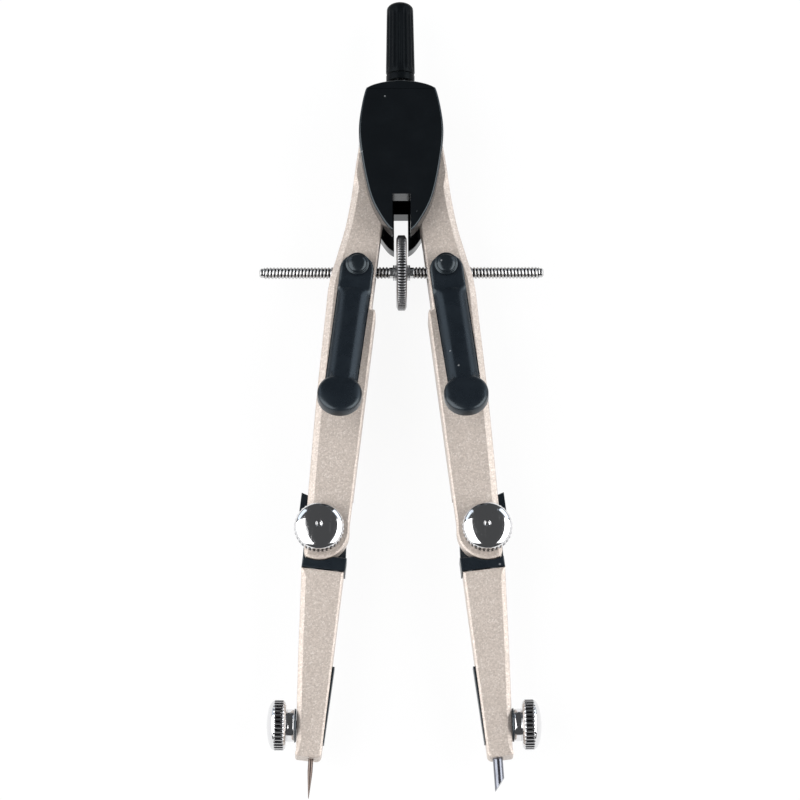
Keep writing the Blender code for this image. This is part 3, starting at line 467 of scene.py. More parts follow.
def bare_metal(name, colour, roughness, scratch_size, wear):
    """Polished metal, duller in its smears and scratches, darker in its pits, and darkened with painted
    shade in the grooves that a mesh marks with its attribute for painted shade."""
    made, tree, shader = new_material(name)
    marks = link(tree, "ShaderNodeGroup", {"Scratch size": scratch_size}, node_tree=handled_metal).outputs
    dark = tuple(0.45 * c for c in colour)
    tone = mixed(tree, marks["Pits"], (*colour, 1), (*dark, 1))
    # Painted shade: the grooves' mask mixes the metal's colour towards a near-black grey.
    grooves = link(tree, "ShaderNodeAttribute", attribute_name="painted_recess_shade").outputs["Fac"]
    shaded = mixed(tree, grooves, tone, groove_painted_shade)
    dull = ranged(tree, marks["Smear"], (0.35, 0.7), (roughness, roughness + 0.06 * wear))
    rough = maths(tree, "ADD", dull, maths(tree, "MULTIPLY", marks["Scratches"], 0.18 * wear))
    dents = maths(tree, "ADD", marks["Scratches"], marks["Pits"])
    feed(tree, shader, shaded, rough, dents, strength=0.15 * wear, distance=-0.00001)
    shader.inputs["Metallic"].default_value = 1
    return made


steel = bare_metal("turned_steel", (0.56, 0.56, 0.57), roughness=0.22, scratch_size=0.0003, wear=1.0)
for name in (
    "left_pivot_screw", "right_pivot_screw", "handle_stem", "left_wheel_washer", "right_wheel_washer",
):
    give(nodes[name].data, steel)

# Spindle and wheel. The steel spindle is rolled with a left-hand thread on its left half and a
# right-hand one on its right half; the plated wheel is pressed on at the middle, and its rim is
# straight knurled for the fingers.

spindle_drop = 0.0328
nut_across = 0.00485
pivot_across = 0.00393
rest_opening = radians(6.9)
spindle_reach = 0.0291
thread_pitch = 0.0007
crest_radius = 0.00123
root_radius = 0.00084
plain_middle = 0.0026
plain_radius = 0.00112
end_length = 0.0010
end_radius = 0.00098
end_bevel = 0.0003
run_out = 0.0002
wheel_radius = 0.00775
wheel_half = 0.00105
wheel_teeth = 80
wheel_face_radius = 0.0070
wheel_edge = 0.0003
hub_radius = 0.0016
hub_half = 0.0013
wheel_bore = 0.00133
wheel_bore_reach = 0.003

nut_inset = nut_across - pivot_across
sweep = rest_opening + atan2(nut_inset, spindle_drop)
spindle_height = pivot_height - np.hypot(spindle_drop, nut_inset) * cos(sweep)
crosswise = Matrix.Translation((0, spindle_height, mid_height)) @ Matrix.Rotation(pi / 2, 4, "Y")


def threaded(name, reach, sides=28, steps=12):
    """r = root + (crest - root) (1 - (1 - min(1.1 w, 1)) ^ 1.7), with
    w = |2 frac(h / pitch -+ t / 2 pi) - 1|: a broad round crest and a narrow root, which turn the
    other way on the negative half. The middle and the ends are plain, and the painted shade mask,
    which darkens the metal in the roots, runs from none at w = 0.42 to full at 0.18."""
    h = np.linspace(-reach, reach, int(2 * reach / thread_pitch * steps) + 1)[:, None]
    t = np.arange(sides)[None] * 2 * pi / sides
    across = np.abs(2 * ((h / thread_pitch - np.sign(h) * t / (2 * pi)) % 1) - 1)
    r = root_radius + (crest_radius - root_radius) * (1 - (1 - np.clip(1.1 * across, 0, 1)) ** 1.7)
    plain = np.clip((plain_middle - np.abs(h)) / run_out, 0, 1)
    r = r + plain * (plain_radius - r)
    ends = np.clip((np.abs(h) - reach + end_length) / run_out, 0, 1)
    bevel = end_bevel * np.clip((np.abs(h) - reach + end_bevel) / end_bevel, 0, 1)
    r = r + ends * (end_radius - r) - bevel
    made = sheet_of(name, np.stack([r * np.cos(t), r * np.sin(t), h + 0 * t], -1))
    depth = np.clip((0.42 - across) / 0.24, 0, 1) * (1 - plain) * (1 - ends)
    mark_painted_shade(made, depth)
    return made


bright_steel = bare_metal("rolled_steel", (0.62, 0.62, 0.62), roughness=0.16, scratch_size=0.0002, wear=0.8)
spindle = threaded("spindle_threaded", spindle_reach)
set_down(spindle, crosswise, "spindle", "spindle", bright_steel, crease=75)
chrome = bare_metal("plated_chrome", (0.80, 0.80, 0.81), roughness=0.07, scratch_size=0.00035, wear=0.6)
nickel = bare_metal("plated_nickel", (0.46, 0.46, 0.47), roughness=0.26, scratch_size=0.00030, wear=0.8)
wheel_side = [
    (0.0012, -hub_half, 0), (hub_radius, -hub_half, 0), (hub_radius, -wheel_half, 0),
    (wheel_face_radius, -wheel_half, 0),
    *((r, h, 0) for r, h in rounded((wheel_face_radius, wheel_edge - wheel_half), wheel_edge, -85, -40, 2)),
    (wheel_radius - 0.00012, -wheel_half + 0.00030, 0.00010), (wheel_radius, -wheel_half + 0.00045, 0.00024),
]
# The wheel's knurl grooves carry painted shade through their mask.
wheel = turned(
    "adjusting_wheel_knurled",
    wheel_side + [(r, -h, cut) for r, h, cut in reversed(wheel_side)],
    sides=wheel_teeth * 10,
    groove=lambda t: (0.5 - 0.5 * np.cos(wheel_teeth * t)) ** 1.3,
)
carve(wheel, [disc("bore", wheel_bore, -wheel_bore_reach, wheel_bore_reach)])
set_down(wheel, crosswise, "spindle", "adjusting_wheel", nickel, crease=50)

# Upper legs. Die-cast and sprayed with a warm grey metallic paint: flat faces with a broad soft
# chamfer along the outer edge and a fine one along the inner, a relief cut at the top of the inner
# edge, and meshing teeth inside the head. They are hollow from behind.

half_top = 0.0039
leg_slope = 0.0079
leg_outer = [
    (0.00778, 0.0106), (0.00788, 0.0173), (0.00829, 0.0239), (0.00932, 0.0307), (0.01020, 0.0360),
    (0.01015, 0.0439), (0.00982, 0.0612), (0.00912, 0.0803), (0.00845, 0.0936),
]
relief = 0.00098
relief_top = 0.0060
relief_foot = 0.0412
inner_side_end = 0.0870
leg_wall = 0.0011
pocket_low = -0.0080
pocket_share = 0.0029 / 0.0039
knee_across = 0.0059
knee_drop = 0.0891
knee_disc_radius = 0.0061
knee_screw_bore = 0.0016
lap_radius = 0.0101
lever_across = 0.00485
fulcrum_drop = 0.0378
lug_inside = 0.0014
lug_outside = 0.0026
pivot_bore = 0.00165
nut_bore = 0.0020
pin_bore = 0.0007
pin_height = 0.0020
through = 0.010
teeth_a_turn = 14
tooth_root = 0.00345
tooth_tip = 0.00468
outer_edge = 0.00125
outer_edge_from = 0.0125
outer_edge_to = 0.0943
inner_edge = 0.00040
hidden_edge = 0.00006
rear_share = 0.6
soft_chamfer = [
    (0, 0.62), (0.03, 0.52), (0.09, 0.455), (0.17, 0.405), (0.35, 0.320), (0.60, 0.205), (0.82, 0.105),
    (0.93, 0.055), (1.02, 0.020), (1.12, 0),
]
both_sides = ((-1, "left"), (1, "right"))


def down(points, side):
    """Points given across and down a leg, in the leg's own frame: its pivot is the origin and -Y
    runs down it."""
    points = np.asarray(points, float)
    return np.stack([side * (points[:, 0] - pivot_across), -points[:, 1]], 1)


def leg_half(points):
    """Half thickness of an upper leg at points in the leg's frame: 3.9 mm at its pivot, and evenly
    less down the leg."""
    return half_top + leg_slope * points[:, 1]


def toothed_top(side):
    """Four of the fourteen teeth a turn round the pivot, each a flat tip between two roots; left and
    right are half a tooth apart so that they mesh."""
    pitch = 2 * pi / teeth_a_turn
    middle = np.array([[2], [1], [0], [-1]]) * pitch + side * pitch / 4 + rest_opening
    lift = (middle + np.array([0.24, 0.10, -0.10, -0.24]) * pitch).ravel()
    radius = np.tile([tooth_root, tooth_tip, tooth_tip, tooth_root], 4)
    return np.stack([pivot_across - radius * np.cos(lift), -radius * np.sin(lift)], 1)


def leg_frame(side):
    """A leg's frame in the shared one: its origin is the pivot, and it is turned by the opening."""
    pivot = Matrix.Translation((side * pivot_half_spacing, pivot_height, mid_height))
    return pivot @ Matrix.Rotation(side * rest_opening, 4, "Z")


def paint_group():
    """Metallic paint: flakes as separate tones with a cloud over them, a few flakes marked for a
    painted glint, a fine orange peel, and a slow drift of the coat."""
    tree, given, result = group_of(
        "Flake paint", [("Flake size", 0.00025)], ["Flakes", "Painted glints", "Peel", "Drift"]
    )
    place = link(tree, "ShaderNodeTexCoord").outputs["Object"]
    per_metre = maths(tree, "DIVIDE", 1.0, given["Flake size"])
    cells = link(tree, "ShaderNodeTexVoronoi", {"Vector": place, "Scale": per_metre})
    tone = link(tree, "ShaderNodeSeparateColor", {0: cells.outputs["Color"]}).outputs
    cloud = noise(tree, place, per_metre, detail=3.0, roughness=0.7)
    flakes = maths(tree, "MULTIPLY", maths(tree, "ADD", tone[0], cloud), 0.5)
    tree.links.new(flakes, result["Flakes"])
    tree.links.new(maths(tree, "GREATER_THAN", tone[1], 0.90), result["Painted glints"])
    tree.links.new(noise(tree, place, scale=2600.0, detail=2.0), result["Peel"])
    tree.links.new(noise(tree, place, scale=120.0, detail=3.0), result["Drift"])
    return tree


def flake_paint(name, dark, light, painted_glint, roughness):
    """Sprayed metallic paint: each flake takes a tone between dark and light, and a few are painted brighter
    as a painted glint.
    """
    made, tree, shader = new_material(name)
    coat = link(tree, "ShaderNodeGroup", node_tree=paint_group()).outputs
    tone = mixed(tree, coat["Flakes"], (*dark, 1), (*light, 1))
    # Painted highlight: the marked flakes are lifted half way to the glint colour.
    bright = mixed(tree, maths(tree, "MULTIPLY", coat["Painted glints"], 0.5), tone, (*painted_glint, 1))
    rough = ranged(tree, coat["Drift"], (0.3, 0.7), (roughness - 0.03, roughness + 0.05))
    height = maths(tree, "ADD", coat["Peel"], coat["Flakes"])
    feed(tree, shader, bright, rough, height, strength=0.25, distance=0.00002)
    shader.inputs["Metallic"].default_value = 0.30
    return made


paint = flake_paint(
    "grey_paint", dark=(0.37, 0.315, 0.275), light=(0.66, 0.58, 0.52), painted_glint=(0.74, 0.68, 0.63),
    roughness=0.40,
)


def place_at(across, drop, side, height=0.0):
    """A place on a leg, in the leg's frame."""
    x, y = down([(across, drop)], side)[0]
    return Matrix.Translation((x, y, height))


def moved(piece, matrix):
    """The piece, with its mesh moved."""
    piece.data.transform(matrix)
    return piece


def panel(name, side, across, drops, levels):
    """A square-cornered block on a leg, between two places across it, two drops and two levels."""
    (near, far), (top, foot) = across, drops
    return plate(name, down([(near, top), (far, top), (far, foot), (near, foot)], side), *levels)


def pin_hole(side, reach):
    """A round cutter along the pin on which the release lever turns."""
    along = place_at(lever_across, fulcrum_drop, side, pin_height) @ Matrix.Rotation(pi / 2, 4, "Y")
    return moved(disc("pin_bore", pin_bore, -reach, reach, sides=24), along)


for side, label in both_sides:
    knee = place_at(knee_across, knee_drop, side)
    boss = rounded((pivot_across, 0), tooth_root, 0, -68)
    teeth = toothed_top(side)
    relief_cut = [
        (relief, relief_top), (relief, relief_foot), (relief / 4, relief_foot + 0.00033),
        (0, relief_foot + 0.0010),
    ]
    inner_side = np.column_stack([np.zeros(12), np.linspace(relief_foot + 0.0030, inner_side_end, 12)])
    disc_end = rounded((knee_across, knee_drop), knee_disc_radius, 185, 71, steps=28)
    outer = curve_through(leg_outer, steps=8)[::-1]
    loop = np.vstack([boss, teeth, relief_cut, inner_side, disc_end, outer])
    drops = outer[:, 1]
    below_head = np.clip((drops - outer_edge_from) / 0.003, 0, 1)
    above_end = np.clip((outer_edge_to - drops) / 0.002, 0, 1)
    rims = np.concatenate([
        np.full(len(boss) + len(teeth) + 1, hidden_edge),
        np.full(len(relief_cut) - 1 + len(inner_side) + len(disc_end), inner_edge),
        inner_edge + (outer_edge - inner_edge) * below_head * above_end,
    ])
    leg = plate(
        f"{label}_upper_leg_cast", down(loop, side), lambda points: -leg_half(points), leg_half,
        rims * rear_share, rims, soft_chamfer,
    )
    hollow = [
        (relief + leg_wall, 0.0130), (0.00678, 0.0130), (0.00719, 0.0239), (0.00910, 0.0360),
        (0.00872, 0.0612), (0.00802, 0.0760), (leg_wall, 0.0760), (leg_wall, relief_foot + 0.0020),
        (relief + leg_wall, relief_foot),
    ]
    pocket = plate(
        "pocket", down(hollow, side), pocket_low, lambda points: pocket_share * leg_half(points)
    )
    carve(leg, [pocket])
    lugs = []
    for sign in (-1, 1):
        ends = sorted((lever_across + sign * lug_inside, lever_across + sign * lug_outside))
        lugs.append(panel("lug", side, ends, (0.0362, 0.0394), (0.0009, 0.0031)))
    carve(leg, lugs, "UNION")
    carve(leg, [
        moved(disc("lap", lap_radius, -through, 0.0001), knee),
        panel("window", side, (0.00345, 0.00625), (0.0359, 0.0397), (0.0009, through)),
        panel("inner_slot", side, (-0.004, 0.0023), (0.0281, 0.0345), (-0.0018, 0.0018)),
        panel("outer_slot", side, (0.0074, 0.0142), (0.0311, 0.0375), (-0.0018, 0.0030)),
        moved(disc("nut_bore", nut_bore, 0, through), place_at(nut_across, spindle_drop, side)),
        moved(disc("screw_bore", knee_screw_bore, -through, through), knee),
        disc("pivot_bore", pivot_bore, -through, through),
        pin_hole(side, 0.0031),
    ])
    set_down(leg, leg_frame(side), f"{label}_leg", f"{label}_upper_leg", paint, crease=38)

# Stud caps and nuts. The cap is the glossy black button on the stem of the brass half nut, which
# the release lever lifts off the spindle.

cap_foot = 0.0056
cap_profile = [
    (0.0021, cap_foot), *rounded((0.00225, cap_foot + 0.00018), 0.00015, -70, 70),
    (0.00205, cap_foot + 0.00038), (0.00196, cap_foot + 0.00042),
    *((0.00192 * cos(a), cap_foot + 0.00048 + 0.00062 * sin(a)) for a in np.radians(range(0, 81, 8))),
    (0.00008, cap_foot + 0.0011),
]
brass = bare_metal("turned_brass", (0.62, 0.46, 0.22), roughness=0.25, scratch_size=0.0003, wear=1.0)
button_black = black_moulding(
    "button_black", (0.0060, 0.0080, 0.0100), roughness=0.20, grain_size=0.00030, grain_height=0.15, dust=0.5
)
for side, label in both_sides:
    cap = turned(f"{label}_stud_button", cap_profile)
    on_nut = leg_frame(side) @ place_at(nut_across, spindle_drop, side)
    set_down(
        cap, on_nut, f"{label}_stud", f"{label}_stud_cap", button_black, crease=60
    )
    for name, looks in (
        ("nut_carrier", brass), ("half_nut", brass), ("lever_pin", steel), ("lever_spring", steel),
        ("knee_nut", steel),
    ):
        give(nodes[f"{label}_{name}"].data, looks)

# Release levers. Each is one black moulding: a flat plate round the stud, an arm that rises from the
# hinge with a crowned back, and a round thumb pad at its end.

lever_top = 0.0304
lever_half_width = 0.00345
arm_foot_half_width = 0.0033
lever_thickness = 0.0015
lever_end = 0.0034
squareness = 0.42
arm_rise = radians(17.5)
arm_length = 0.0267
arm_crown = 0.00110
arm_thinning = 0.00055
bend_half = 0.0009
stem_hole = 0.00195
lever_low = half_top - leg_slope * spindle_drop + 0.0002
pad_profile = [
    (0.0040, -0.0015), *rounded((0.0041, -0.0011), 0.0004, -80, -10, steps=4),
    *rounded((0.0040, 0.0004), 0.0005, 5, 62),
    *((0.00432 * cos(a), 0.00072 + 0.00078 * sin(a)) for a in np.radians(np.linspace(14, 88, 14))),
]


def lever_body(name):
    """A flattened oval |x / a| ^ n + |z / b| ^ n = 1, with n = 2 / squareness, carried down the
    lever: a runs up an ellipse at the plate's end, and past the kink the back rises by
    crown (1 - (x / a)^2) - thinning."""
    end = 1 - np.cos(np.linspace(0.12, pi / 2, 14))
    plate_run = np.concatenate([end * lever_end, np.linspace(0.0040, 0.0060, 4)])
    plate_run = plate_run - (fulcrum_drop - lever_top)
    kink_run = np.linspace(-bend_half, 0.0012, 9)
    arm_run = np.linspace(0.0020, arm_length - 0.0022, 16)
    run = np.concatenate([plate_run, kink_run, arm_run])[:, None]
    bend = np.clip((run + bend_half) / (2 * bend_half), 0, 1)
    turn = arm_rise * (bend * bend * (3 - 2 * bend))
    middle_drop = fulcrum_drop + np.where(run < 0, run, run * cos(arm_rise))
    eased = 0.00009 * (1 - np.clip(np.abs(run) / bend_half, 0, 1))
    middle_height = lever_low + lever_thickness / 2 + np.clip(run, 0, None) * sin(arm_rise) + eased
    near_end = np.clip((run + fulcrum_drop - lever_top) / lever_end, 0, 1)
    flare = (arm_foot_half_width - lever_half_width) * np.clip(run / arm_length, 0, 1)
    a = (lever_half_width + flare) * np.sqrt(1 - (1 - near_end) ** 2)
    b = lever_thickness / 2 * (1 - (1 - near_end) ** 10) ** 0.5
    v = np.arange(64)[None] * 2 * pi / 64
    x = a * np.sign(np.cos(v)) * np.abs(np.cos(v)) ** squareness
    z = b * np.sign(np.sin(v)) * np.abs(np.sin(v)) ** squareness
    grown = np.clip((run - 0.0002) / 0.0012, 0, 1)
    z = z + np.clip(np.sin(v) * 3, 0, 1) * grown * (arm_crown * (1 - (x / a) ** 2) - arm_thinning)
    grid = np.stack([x, -middle_drop + z * np.sin(turn), middle_height + z * np.cos(turn)], -1)
    return sheet_of(name, grid)


for side, label in both_sides:
    lever = moved(lever_body(f"{label}_lever_moulding"), place_at(lever_across, 0, side))
    kink = place_at(lever_across, fulcrum_drop, side, lever_low + lever_thickness / 2)
    on_arm = kink @ Matrix.Rotation(-arm_rise, 4, "X") @ Matrix.Translation((0, -arm_length, 0))
    pad = moved(turned("pad", pad_profile, sides=128), on_arm)
    rib = panel("rib", side, (0.00375, 0.00595), (0.0367, 0.0389), (0.0011, lever_low + 0.0007))
    carve(lever, [pad, rib], "UNION")
    over_stud = place_at(nut_across, spindle_drop, side)
    carve(lever, [pin_hole(side, 0.0030), moved(disc("stem_hole", stem_hole, 0, through), over_stud)])
    set_down(
        lever, leg_frame(side), f"{label}_lever", f"{label}_release_lever", lever_black,
        crease=42,
    )

# Knees. A black moulding laps behind the disc at the end of each upper leg and plugs into the lower
# leg; a shoulder strip closes the joint in front, and a pointed tab stands out on the outer side.

block_end = 0.0971
block_half = 0.0030
block_radius = 0.0083
block_foot_across = 0.00855
tab_across = 0.0105
lip = -0.0003
seat = 0.0001
strip_top = 0.0943
tenon_end = 0.1040
block_outline = [
    (lip, block_end), *rounded((knee_across, knee_drop), block_radius, -127, -69.5, steps=23),
    (tab_across, knee_drop - block_radius), (tab_across, knee_drop - 0.0031),
    (0.00885, knee_drop - 0.0003), (block_foot_across, block_end),
]
strip_outline = [
    (lip, block_end), (lip, strip_top), (block_foot_across, strip_top), (block_foot_across, block_end),
]

for side, label in both_sides:
    knee = place_at(knee_across, knee_drop, side)
    block_piece = plate(
        f"{label}_knee_moulding", down(block_outline, side), -block_half, -seat,
        rim_low=0.0005, rim_high=0.0001,
    )
    strip = plate("strip", down(strip_outline, side), -0.0015, block_half, rim_high=0.0003)
    carve(block_piece, [strip], "UNION")
    carve(block_piece, [moved(disc("clear", knee_disc_radius + 0.0003, -seat, through, sides=96), knee)])
    tenon_drops = (block_end - 0.0003, tenon_end)
    tenon = panel("tenon", side, (0.0020, 0.0058), tenon_drops, (-0.0017, 0.0017))
    carve(block_piece, [tenon], "UNION")
    carve(block_piece, [
        moved(disc("screw_bore", knee_screw_bore, -through, through), knee),
        moved(block("nut_pocket", (-0.0024, -0.0024, -through), (0.0024, 0.0024, -0.0013)), knee),
    ])
    set_down(
        block_piece, leg_frame(side), f"{label}_shin", f"{label}_knee_block", lever_black,
        crease=40,
    )

# Knurled screws. Plated brass knobs with a straight-knurled rim, chamfered ridge ends and a polished
# dome with a small centre dimple. One stands up at each knee, one clamps each point from the side.

knob_radius = 0.00505
knob_teeth = 36
knob_rim = 0.0023
knob_dome = 0.0013
knob_flute = 0.00026
clear_of_leg = 0.0002


def knob(name, low, shank):
    """Turned profile from the screw's shank up to the dimple, grooved by 36 cosine flutes whose
    depth is full on the rim and less on its chamfers; the flutes carry painted shade."""
    top = low + knob_rim
    crown = knob_radius - 0.00016
    rim = [
        (0.0042, low, 0), (0.00448, low + 0.00008, 0), (knob_radius - 0.00006, low + 0.00050, 0.00008),
        (knob_radius, low + 0.00066, knob_flute), (knob_radius, top - 0.00016, knob_flute),
        (knob_radius - 0.00004, top, 0.00010),
    ]
    dome = [
        (crown * cos(a), top + 0.00010 + (knob_dome + 0.00018) * sin(a), 0)
        for a in np.radians(np.linspace(4, 74, 22))
    ]
    peak = top + 0.00028 + knob_dome
    dimple = [
        (0.00072, peak - 0.00001, 0), (0.00068, peak - 0.00003, 0), (0.00060, peak - 0.00016, 0),
        (0.00050, peak - 0.00034, 0), (0.00040, peak - 0.00040, 0), (0.00010, peak - 0.00042, 0),
    ]
    return turned(
        name, [*shank, *rim, *dome, *dimple], sides=knob_teeth * 12,
        groove=lambda t: np.clip(0.5 - 0.75 * np.cos(knob_teeth * t), 0, 1) ** 0.8,
    )


for side, label in both_sides:
    foot = half_top - leg_slope * knee_drop + clear_of_leg
    shank = [(0.0013, -0.0026, 0), (0.0015, -0.0024, 0), (0.0015, foot, 0)]
    screw = knob(f"{label}_knee_knob_knurled", foot, shank)
    set_down(
        screw, leg_frame(side) @ place_at(knee_across, knee_drop, side), f"{label}_knee_knob",
        f"{label}_knee_screw", chrome, crease=42,
    )

# Lower legs. Cast and painted like the upper ones, they taper to a blunt end that holds the point in
# a drilled socket; a black liner shows in a slot along the inner edge.

lower_top = 0.0973
lower_outer = [(0.0085, 0.0973), (0.00693, 0.1159), (0.00614, 0.1241), (0.0051, 0.1343)]
lower_end = 0.1356
lower_half_top = 0.0031
lower_taper = 0.0010
lower_edge = 0.0009
tip_across = 0.0020
tip_tilt = radians(3.5)
clamp_drop = 0.1291
clamp_across = 0.00563
clamp_bore = 0.0013
ring_height = 0.00055
knob_seat = 0.00210
socket_depth = 0.0211
liner_top = 0.1165
liner_foot = 0.1323
liner_half = 0.0013
liner_edge = 0.0002
needle_radius = 0.0005
lead_radius = 0.0010


def lower_half(points):
    """Half thickness of a lower leg at points in the leg's frame: 3.1 mm at its top, 2.1 at its end."""
    return lower_half_top - lower_taper * (-points[:, 1] - lower_top) / (lower_end - lower_top)


def tip_frame(side):
    """Z runs down the point, from the middle of the lower leg's end."""
    way = Vector((-side * sin(tip_tilt), -cos(tip_tilt), 0))
    return place_at(tip_across, lower_end, side) @ aimed(way)


def clamp_frame(side):
    """Z runs outwards along the clamp screw, from the lower leg's outer edge."""
    (start, start_drop), (end, end_drop) = lower_outer[-2:]
    slope = atan2(start - end, end_drop - start_drop)
    edge = start - (clamp_drop - start_drop) * (start - end) / (end_drop - start_drop)
    return place_at(edge, clamp_drop, side) @ aimed(Vector((side * cos(slope), -sin(slope), 0)))


for side, label in both_sides:
    radius = needle_radius if side < 0 else lead_radius
    outer = np.array(lower_outer)
    drops = np.linspace(lower_top, outer[-1, 1], 22)
    edge = np.stack([np.interp(drops, outer[:, 1], outer[:, 0]), drops], 1)
    corner = rounded((outer[-1, 0] - 0.0004, lower_end - 0.0005), 0.0005, 8, 82, steps=3)
    inner_corner = rounded((0.0010, lower_end - 0.0010), 0.0010, 90, 180, steps=6)
    inner_side = np.stack([np.zeros(18), np.linspace(lower_end - 0.0016, lower_top + 0.0002, 18)], 1)
    loop = np.vstack([edge, corner, inner_corner, inner_side, [(0, lower_top)]])
    above_end = np.clip((0.1350 - drops) / 0.002, 0, 1)
    below_top = np.clip((drops - lower_top) / 0.0008, 0, 1)
    rims = np.concatenate([
        inner_edge + (lower_edge - inner_edge) * above_end * below_top,
        np.full(len(loop) - len(edge), inner_edge),
    ])
    shin = plate(
        f"{label}_lower_leg_cast", down(loop, side), lambda points: -lower_half(points), lower_half,
        rims * rear_share, rims, soft_chamfer,
    )
    hollow = [(0.0012, 0.0960), (0.0073, 0.0960), (0.0059, 0.1130), (0.0012, 0.1130)]
    slot_drops = (liner_top - 0.0002, liner_foot + 0.0002)
    reach_in = clamp_across - tip_across - 0.0004 - radius - 0.0002
    carve(shin, [
        plate("hollow", down(hollow, side), -through, lambda points: lower_half(points) - 0.0010),
        moved(disc("socket", radius + 0.0001, -socket_depth, 0.004, sides=32), tip_frame(side)),
        panel("liner_slot", side, (-0.003, 0.0008), slot_drops, (-0.0015, 0.0015)),
        moved(disc("clamp_bore", clamp_bore, -reach_in - 0.0002, 0.006, sides=32), clamp_frame(side)),
    ])
    set_down(shin, leg_frame(side), f"{label}_shin", f"{label}_lower_leg", paint, crease=38)
    liner = [(-0.00050, liner_top), (0.0006, liner_top), (0.0006, liner_foot), (-0.00025, liner_foot)]
    liner_piece = plate(
        f"{label}_liner_strip", down(liner, side), -liner_half, liner_half, liner_edge, liner_edge
    )
    set_down(
        liner_piece, leg_frame(side), f"{label}_shin", f"{label}_clamp_liner", lever_black
    )
    on_edge = leg_frame(side) @ clamp_frame(side)
    collar = turned(
        f"{label}_clamp_ring",
        [*rounded((0.0032, 0.00020), 0.0001, -90, 0, 3), *rounded((0.0033, 0.00035), 0.0001, 0, 90, 3)],
    )
    carve(collar, [disc("bore", clamp_bore, -0.001, 0.002)])
    set_down(collar, on_edge, f"{label}_shin", f"{label}_clamp_collar", lever_black)
    shank = [
        (0.0010, -reach_in, 0), (0.0012, -reach_in + 0.0002, 0), (0.0012, ring_height, 0),
        (0.0030, ring_height, 0), (0.00318, 0.00060, 0), (0.00325, 0.00072, 0), (0.00325, 0.00190, 0),
        (0.00318, 0.00204, 0), (0.00318, knob_seat, 0),
    ]
    clamp = knob(f"{label}_clamp_knob_knurled", knob_seat, shank)
    set_down(clamp, on_edge, f"{label}_clamp_knob", f"{label}_clamp_screw", chrome, crease=42)

# Points. A hardened steel needle with a long fine taper on the left, and on the right a graphite
# lead ground to a slope on its outer side.

needle_reach = 0.1436 - lower_end
lead_reach = 0.1423 - lower_end
point_top = 0.1172 - lower_end
needle_taper = 0.0055
ground_length = 0.0027

taper = np.linspace(0, 1, 16)[1:]
needle = turned(
    "needle_point",
    [
        (0.0004, point_top), (needle_radius, point_top + 0.0001), (needle_radius, needle_reach - 0.0056),
        *((needle_radius - 0.00044 * s**1.1, needle_reach - needle_taper * (1 - s)) for s in taper),
    ],
    sides=48,
)
needle_steel = bare_metal(
    "needle_steel", (0.15, 0.118, 0.105), roughness=0.30, scratch_size=0.0003, wear=0.8
)
set_down(needle, leg_frame(-1) @ tip_frame(-1), "left_tip", "needle", needle_steel, crease=60)


def graphite_lead(name):
    """Pressed graphite: near black, with faint lengthwise streaks that catch the light."""
    made, tree, shader = new_material(name)
    place = link(tree, "ShaderNodeTexCoord").outputs["Object"]
    drawn = link(tree, "ShaderNodeMapping", {"Vector": place, "Scale": (1.0, 0.08, 1.0)})
    streaks = noise(tree, drawn.outputs[0], scale=5200.0, detail=3.0)
    tone = mixed(tree, streaks, (0.10, 0.105, 0.125, 1), (0.26, 0.27, 0.31, 1))
    rough = ranged(tree, streaks, (0.3, 0.7), (0.10, 0.20))
    feed(tree, shader, tone, rough, streaks, strength=0.3, distance=0.00001)
    shader.inputs["Metallic"].default_value = 0.9
    return made


lead = turned(
    "lead_point",
    [
        (0.0009, point_top), (lead_radius, point_top + 0.0001), (lead_radius, lead_reach - 0.0001),
        (0.00092, lead_reach),
    ],
    sides=64,
)
tip = tip_frame(1)
slope = atan2(2 * lead_radius, ground_length)
outward = tip.inverted().to_3x3() @ Vector((1, 0, 0))
outward = Vector((outward.x, outward.y, 0)).normalized()
facing = outward * cos(slope) + Vector((0, 0, 1)) * sin(slope)
ground = Matrix.Translation(Vector((0, 0, lead_reach)) - outward * lead_radius) @ aimed(facing)
carve(lead, [moved(block("wedge", (-0.01, -0.01, 0), (0.01, 0.01, 0.02)), ground)])
graphite = graphite_lead("pressed_graphite")
set_down(lead, leg_frame(1) @ tip, "right_tip", "lead", graphite, crease=30)

# Studio. A plain white table, a large soft box to the left and one to the right, two dim bluish
# fills beyond the handle that draw the stripes on the lever arms, and a camera above that leans
# eighteen degrees towards the points.

table_half = 3


def white_table():
    """White to the camera and in reflections; a pale surface with the object's shadow otherwise."""
    made, tree, shader = new_material("white_table")
    shader.inputs["Base Color"].default_value = (0.86, 0.86, 0.86, 1)
    shader.inputs["Roughness"].default_value = 0.9
    glow = link(tree, "ShaderNodeEmission", {"Color": (1, 1, 1, 1), "Strength": 1.0})
    way = link(tree, "ShaderNodeLightPath").outputs
    seen = maths(tree, "MAXIMUM", way["Is Camera Ray"], way["Is Glossy Ray"])
    seen = maths(tree, "MAXIMUM", seen, way["Is Transmission Ray"])
    share = maths(tree, "MULTIPLY", seen, 0.92)
    both = link(tree, "ShaderNodeMixShader", {0: share, 1: shader.outputs[0], 2: glow.outputs[0]})
    tree.links.new(both.outputs[0], tree.nodes["Material Output"].inputs["Surface"])
    return made


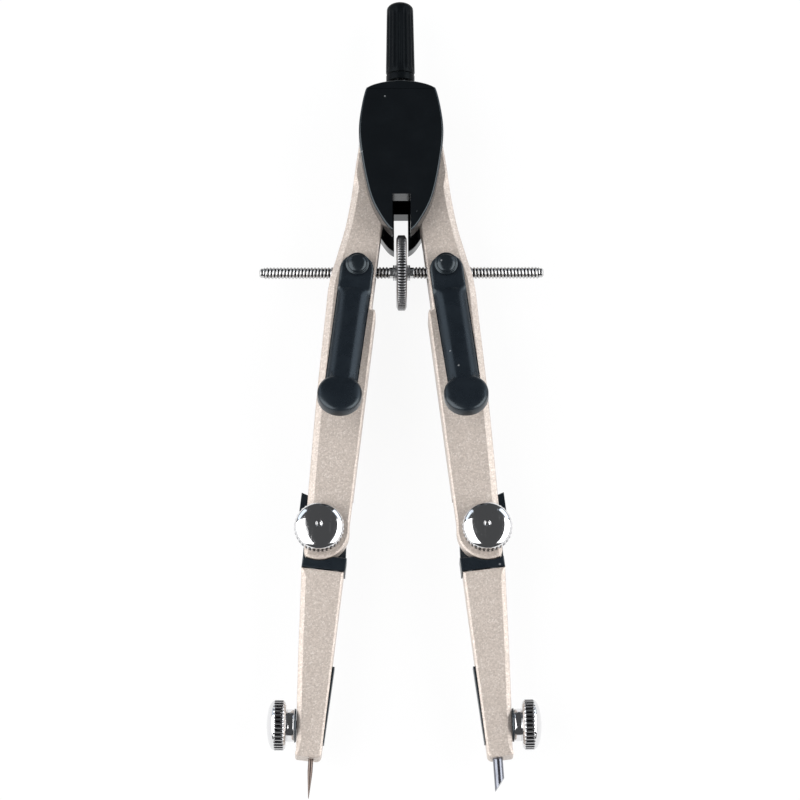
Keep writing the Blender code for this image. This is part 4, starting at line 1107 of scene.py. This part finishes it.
low = min(cad_low[2], 0)
around = ((-1, -1), (1, -1), (1, 1), (-1, 1))
corners = [(x * table_half, y * table_half, low) for x, y in around]
mesh = bpy.data.meshes.new("table")
mesh.from_pydata(corners, [], [(0, 1, 2, 3)])
table = bpy.data.objects.new("table", mesh)
bpy.context.collection.objects.link(table)
table.data.materials.append(white_table())
table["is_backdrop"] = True

white = (1, 1, 1)
bluish = (0.80, 0.89, 1)
for name, place, length, width, power, colour in (
    ("soft_box_left", (-0.62, -0.12, 0.50), 1.05, 0.90, 10.3, white),
    ("soft_box_right", (0.68, -0.08, 0.46), 1.05, 0.62, 8.0, white),
    ("fill_left", (-0.56, 0.55, 0.36), 0.40, 0.40, 0.65, bluish),
    ("fill_right", (0.56, 0.55, 0.36), 0.40, 0.40, 0.90, bluish),
):
    lamp = bpy.data.lights.new(name, "AREA")
    lamp.shape = "RECTANGLE"
    lamp.size = length
    lamp.size_y = width
    lamp.energy = power
    lamp.color = colour
    holder = bpy.data.objects.new(name, lamp)
    bpy.context.collection.objects.link(holder)
    holder.matrix_world = Matrix.Translation(place) @ aimed(Vector(place))

world = bpy.data.worlds.new("studio")
world.use_nodes = True
tree = world.node_tree
mirrored = link(tree, "ShaderNodeLightPath").outputs["Is Glossy Ray"]
dimmed = ranged(tree, mirrored, (0.0, 1.0), (0.24, 0.075))
background = tree.nodes["Background"].inputs
background["Color"].default_value = (0.95, 0.97, 1, 1)
tree.links.new(dimmed, background["Strength"])
bpy.context.scene.world = world
bpy.context.scene.view_settings.view_transform = "Standard"

lens_in_pixels = 4917
frame_width = 800
photo_turn = radians(-0.33)
eye = bpy.data.cameras.new("camera")
eye.sensor_width = 36
eye.lens = lens_in_pixels * eye.sensor_width / frame_width
eye.shift_x = -0.0028
eye.shift_y = 0.0009
camera = bpy.data.objects.new("camera", eye)
bpy.context.collection.objects.link(camera)
target = Vector((0, -0.0022, 0.0079))
back = Vector((-0.011, -0.309, 0.951)).normalized()
across = Vector((0, 1, 0)).cross(back).normalized()
look = Matrix((across, back.cross(across), back)).transposed().to_4x4()
camera.matrix_world = Matrix.Translation(target + back) @ look @ Matrix.Rotation(photo_turn, 4, "Z")
bpy.context.scene.camera = camera

low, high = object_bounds()
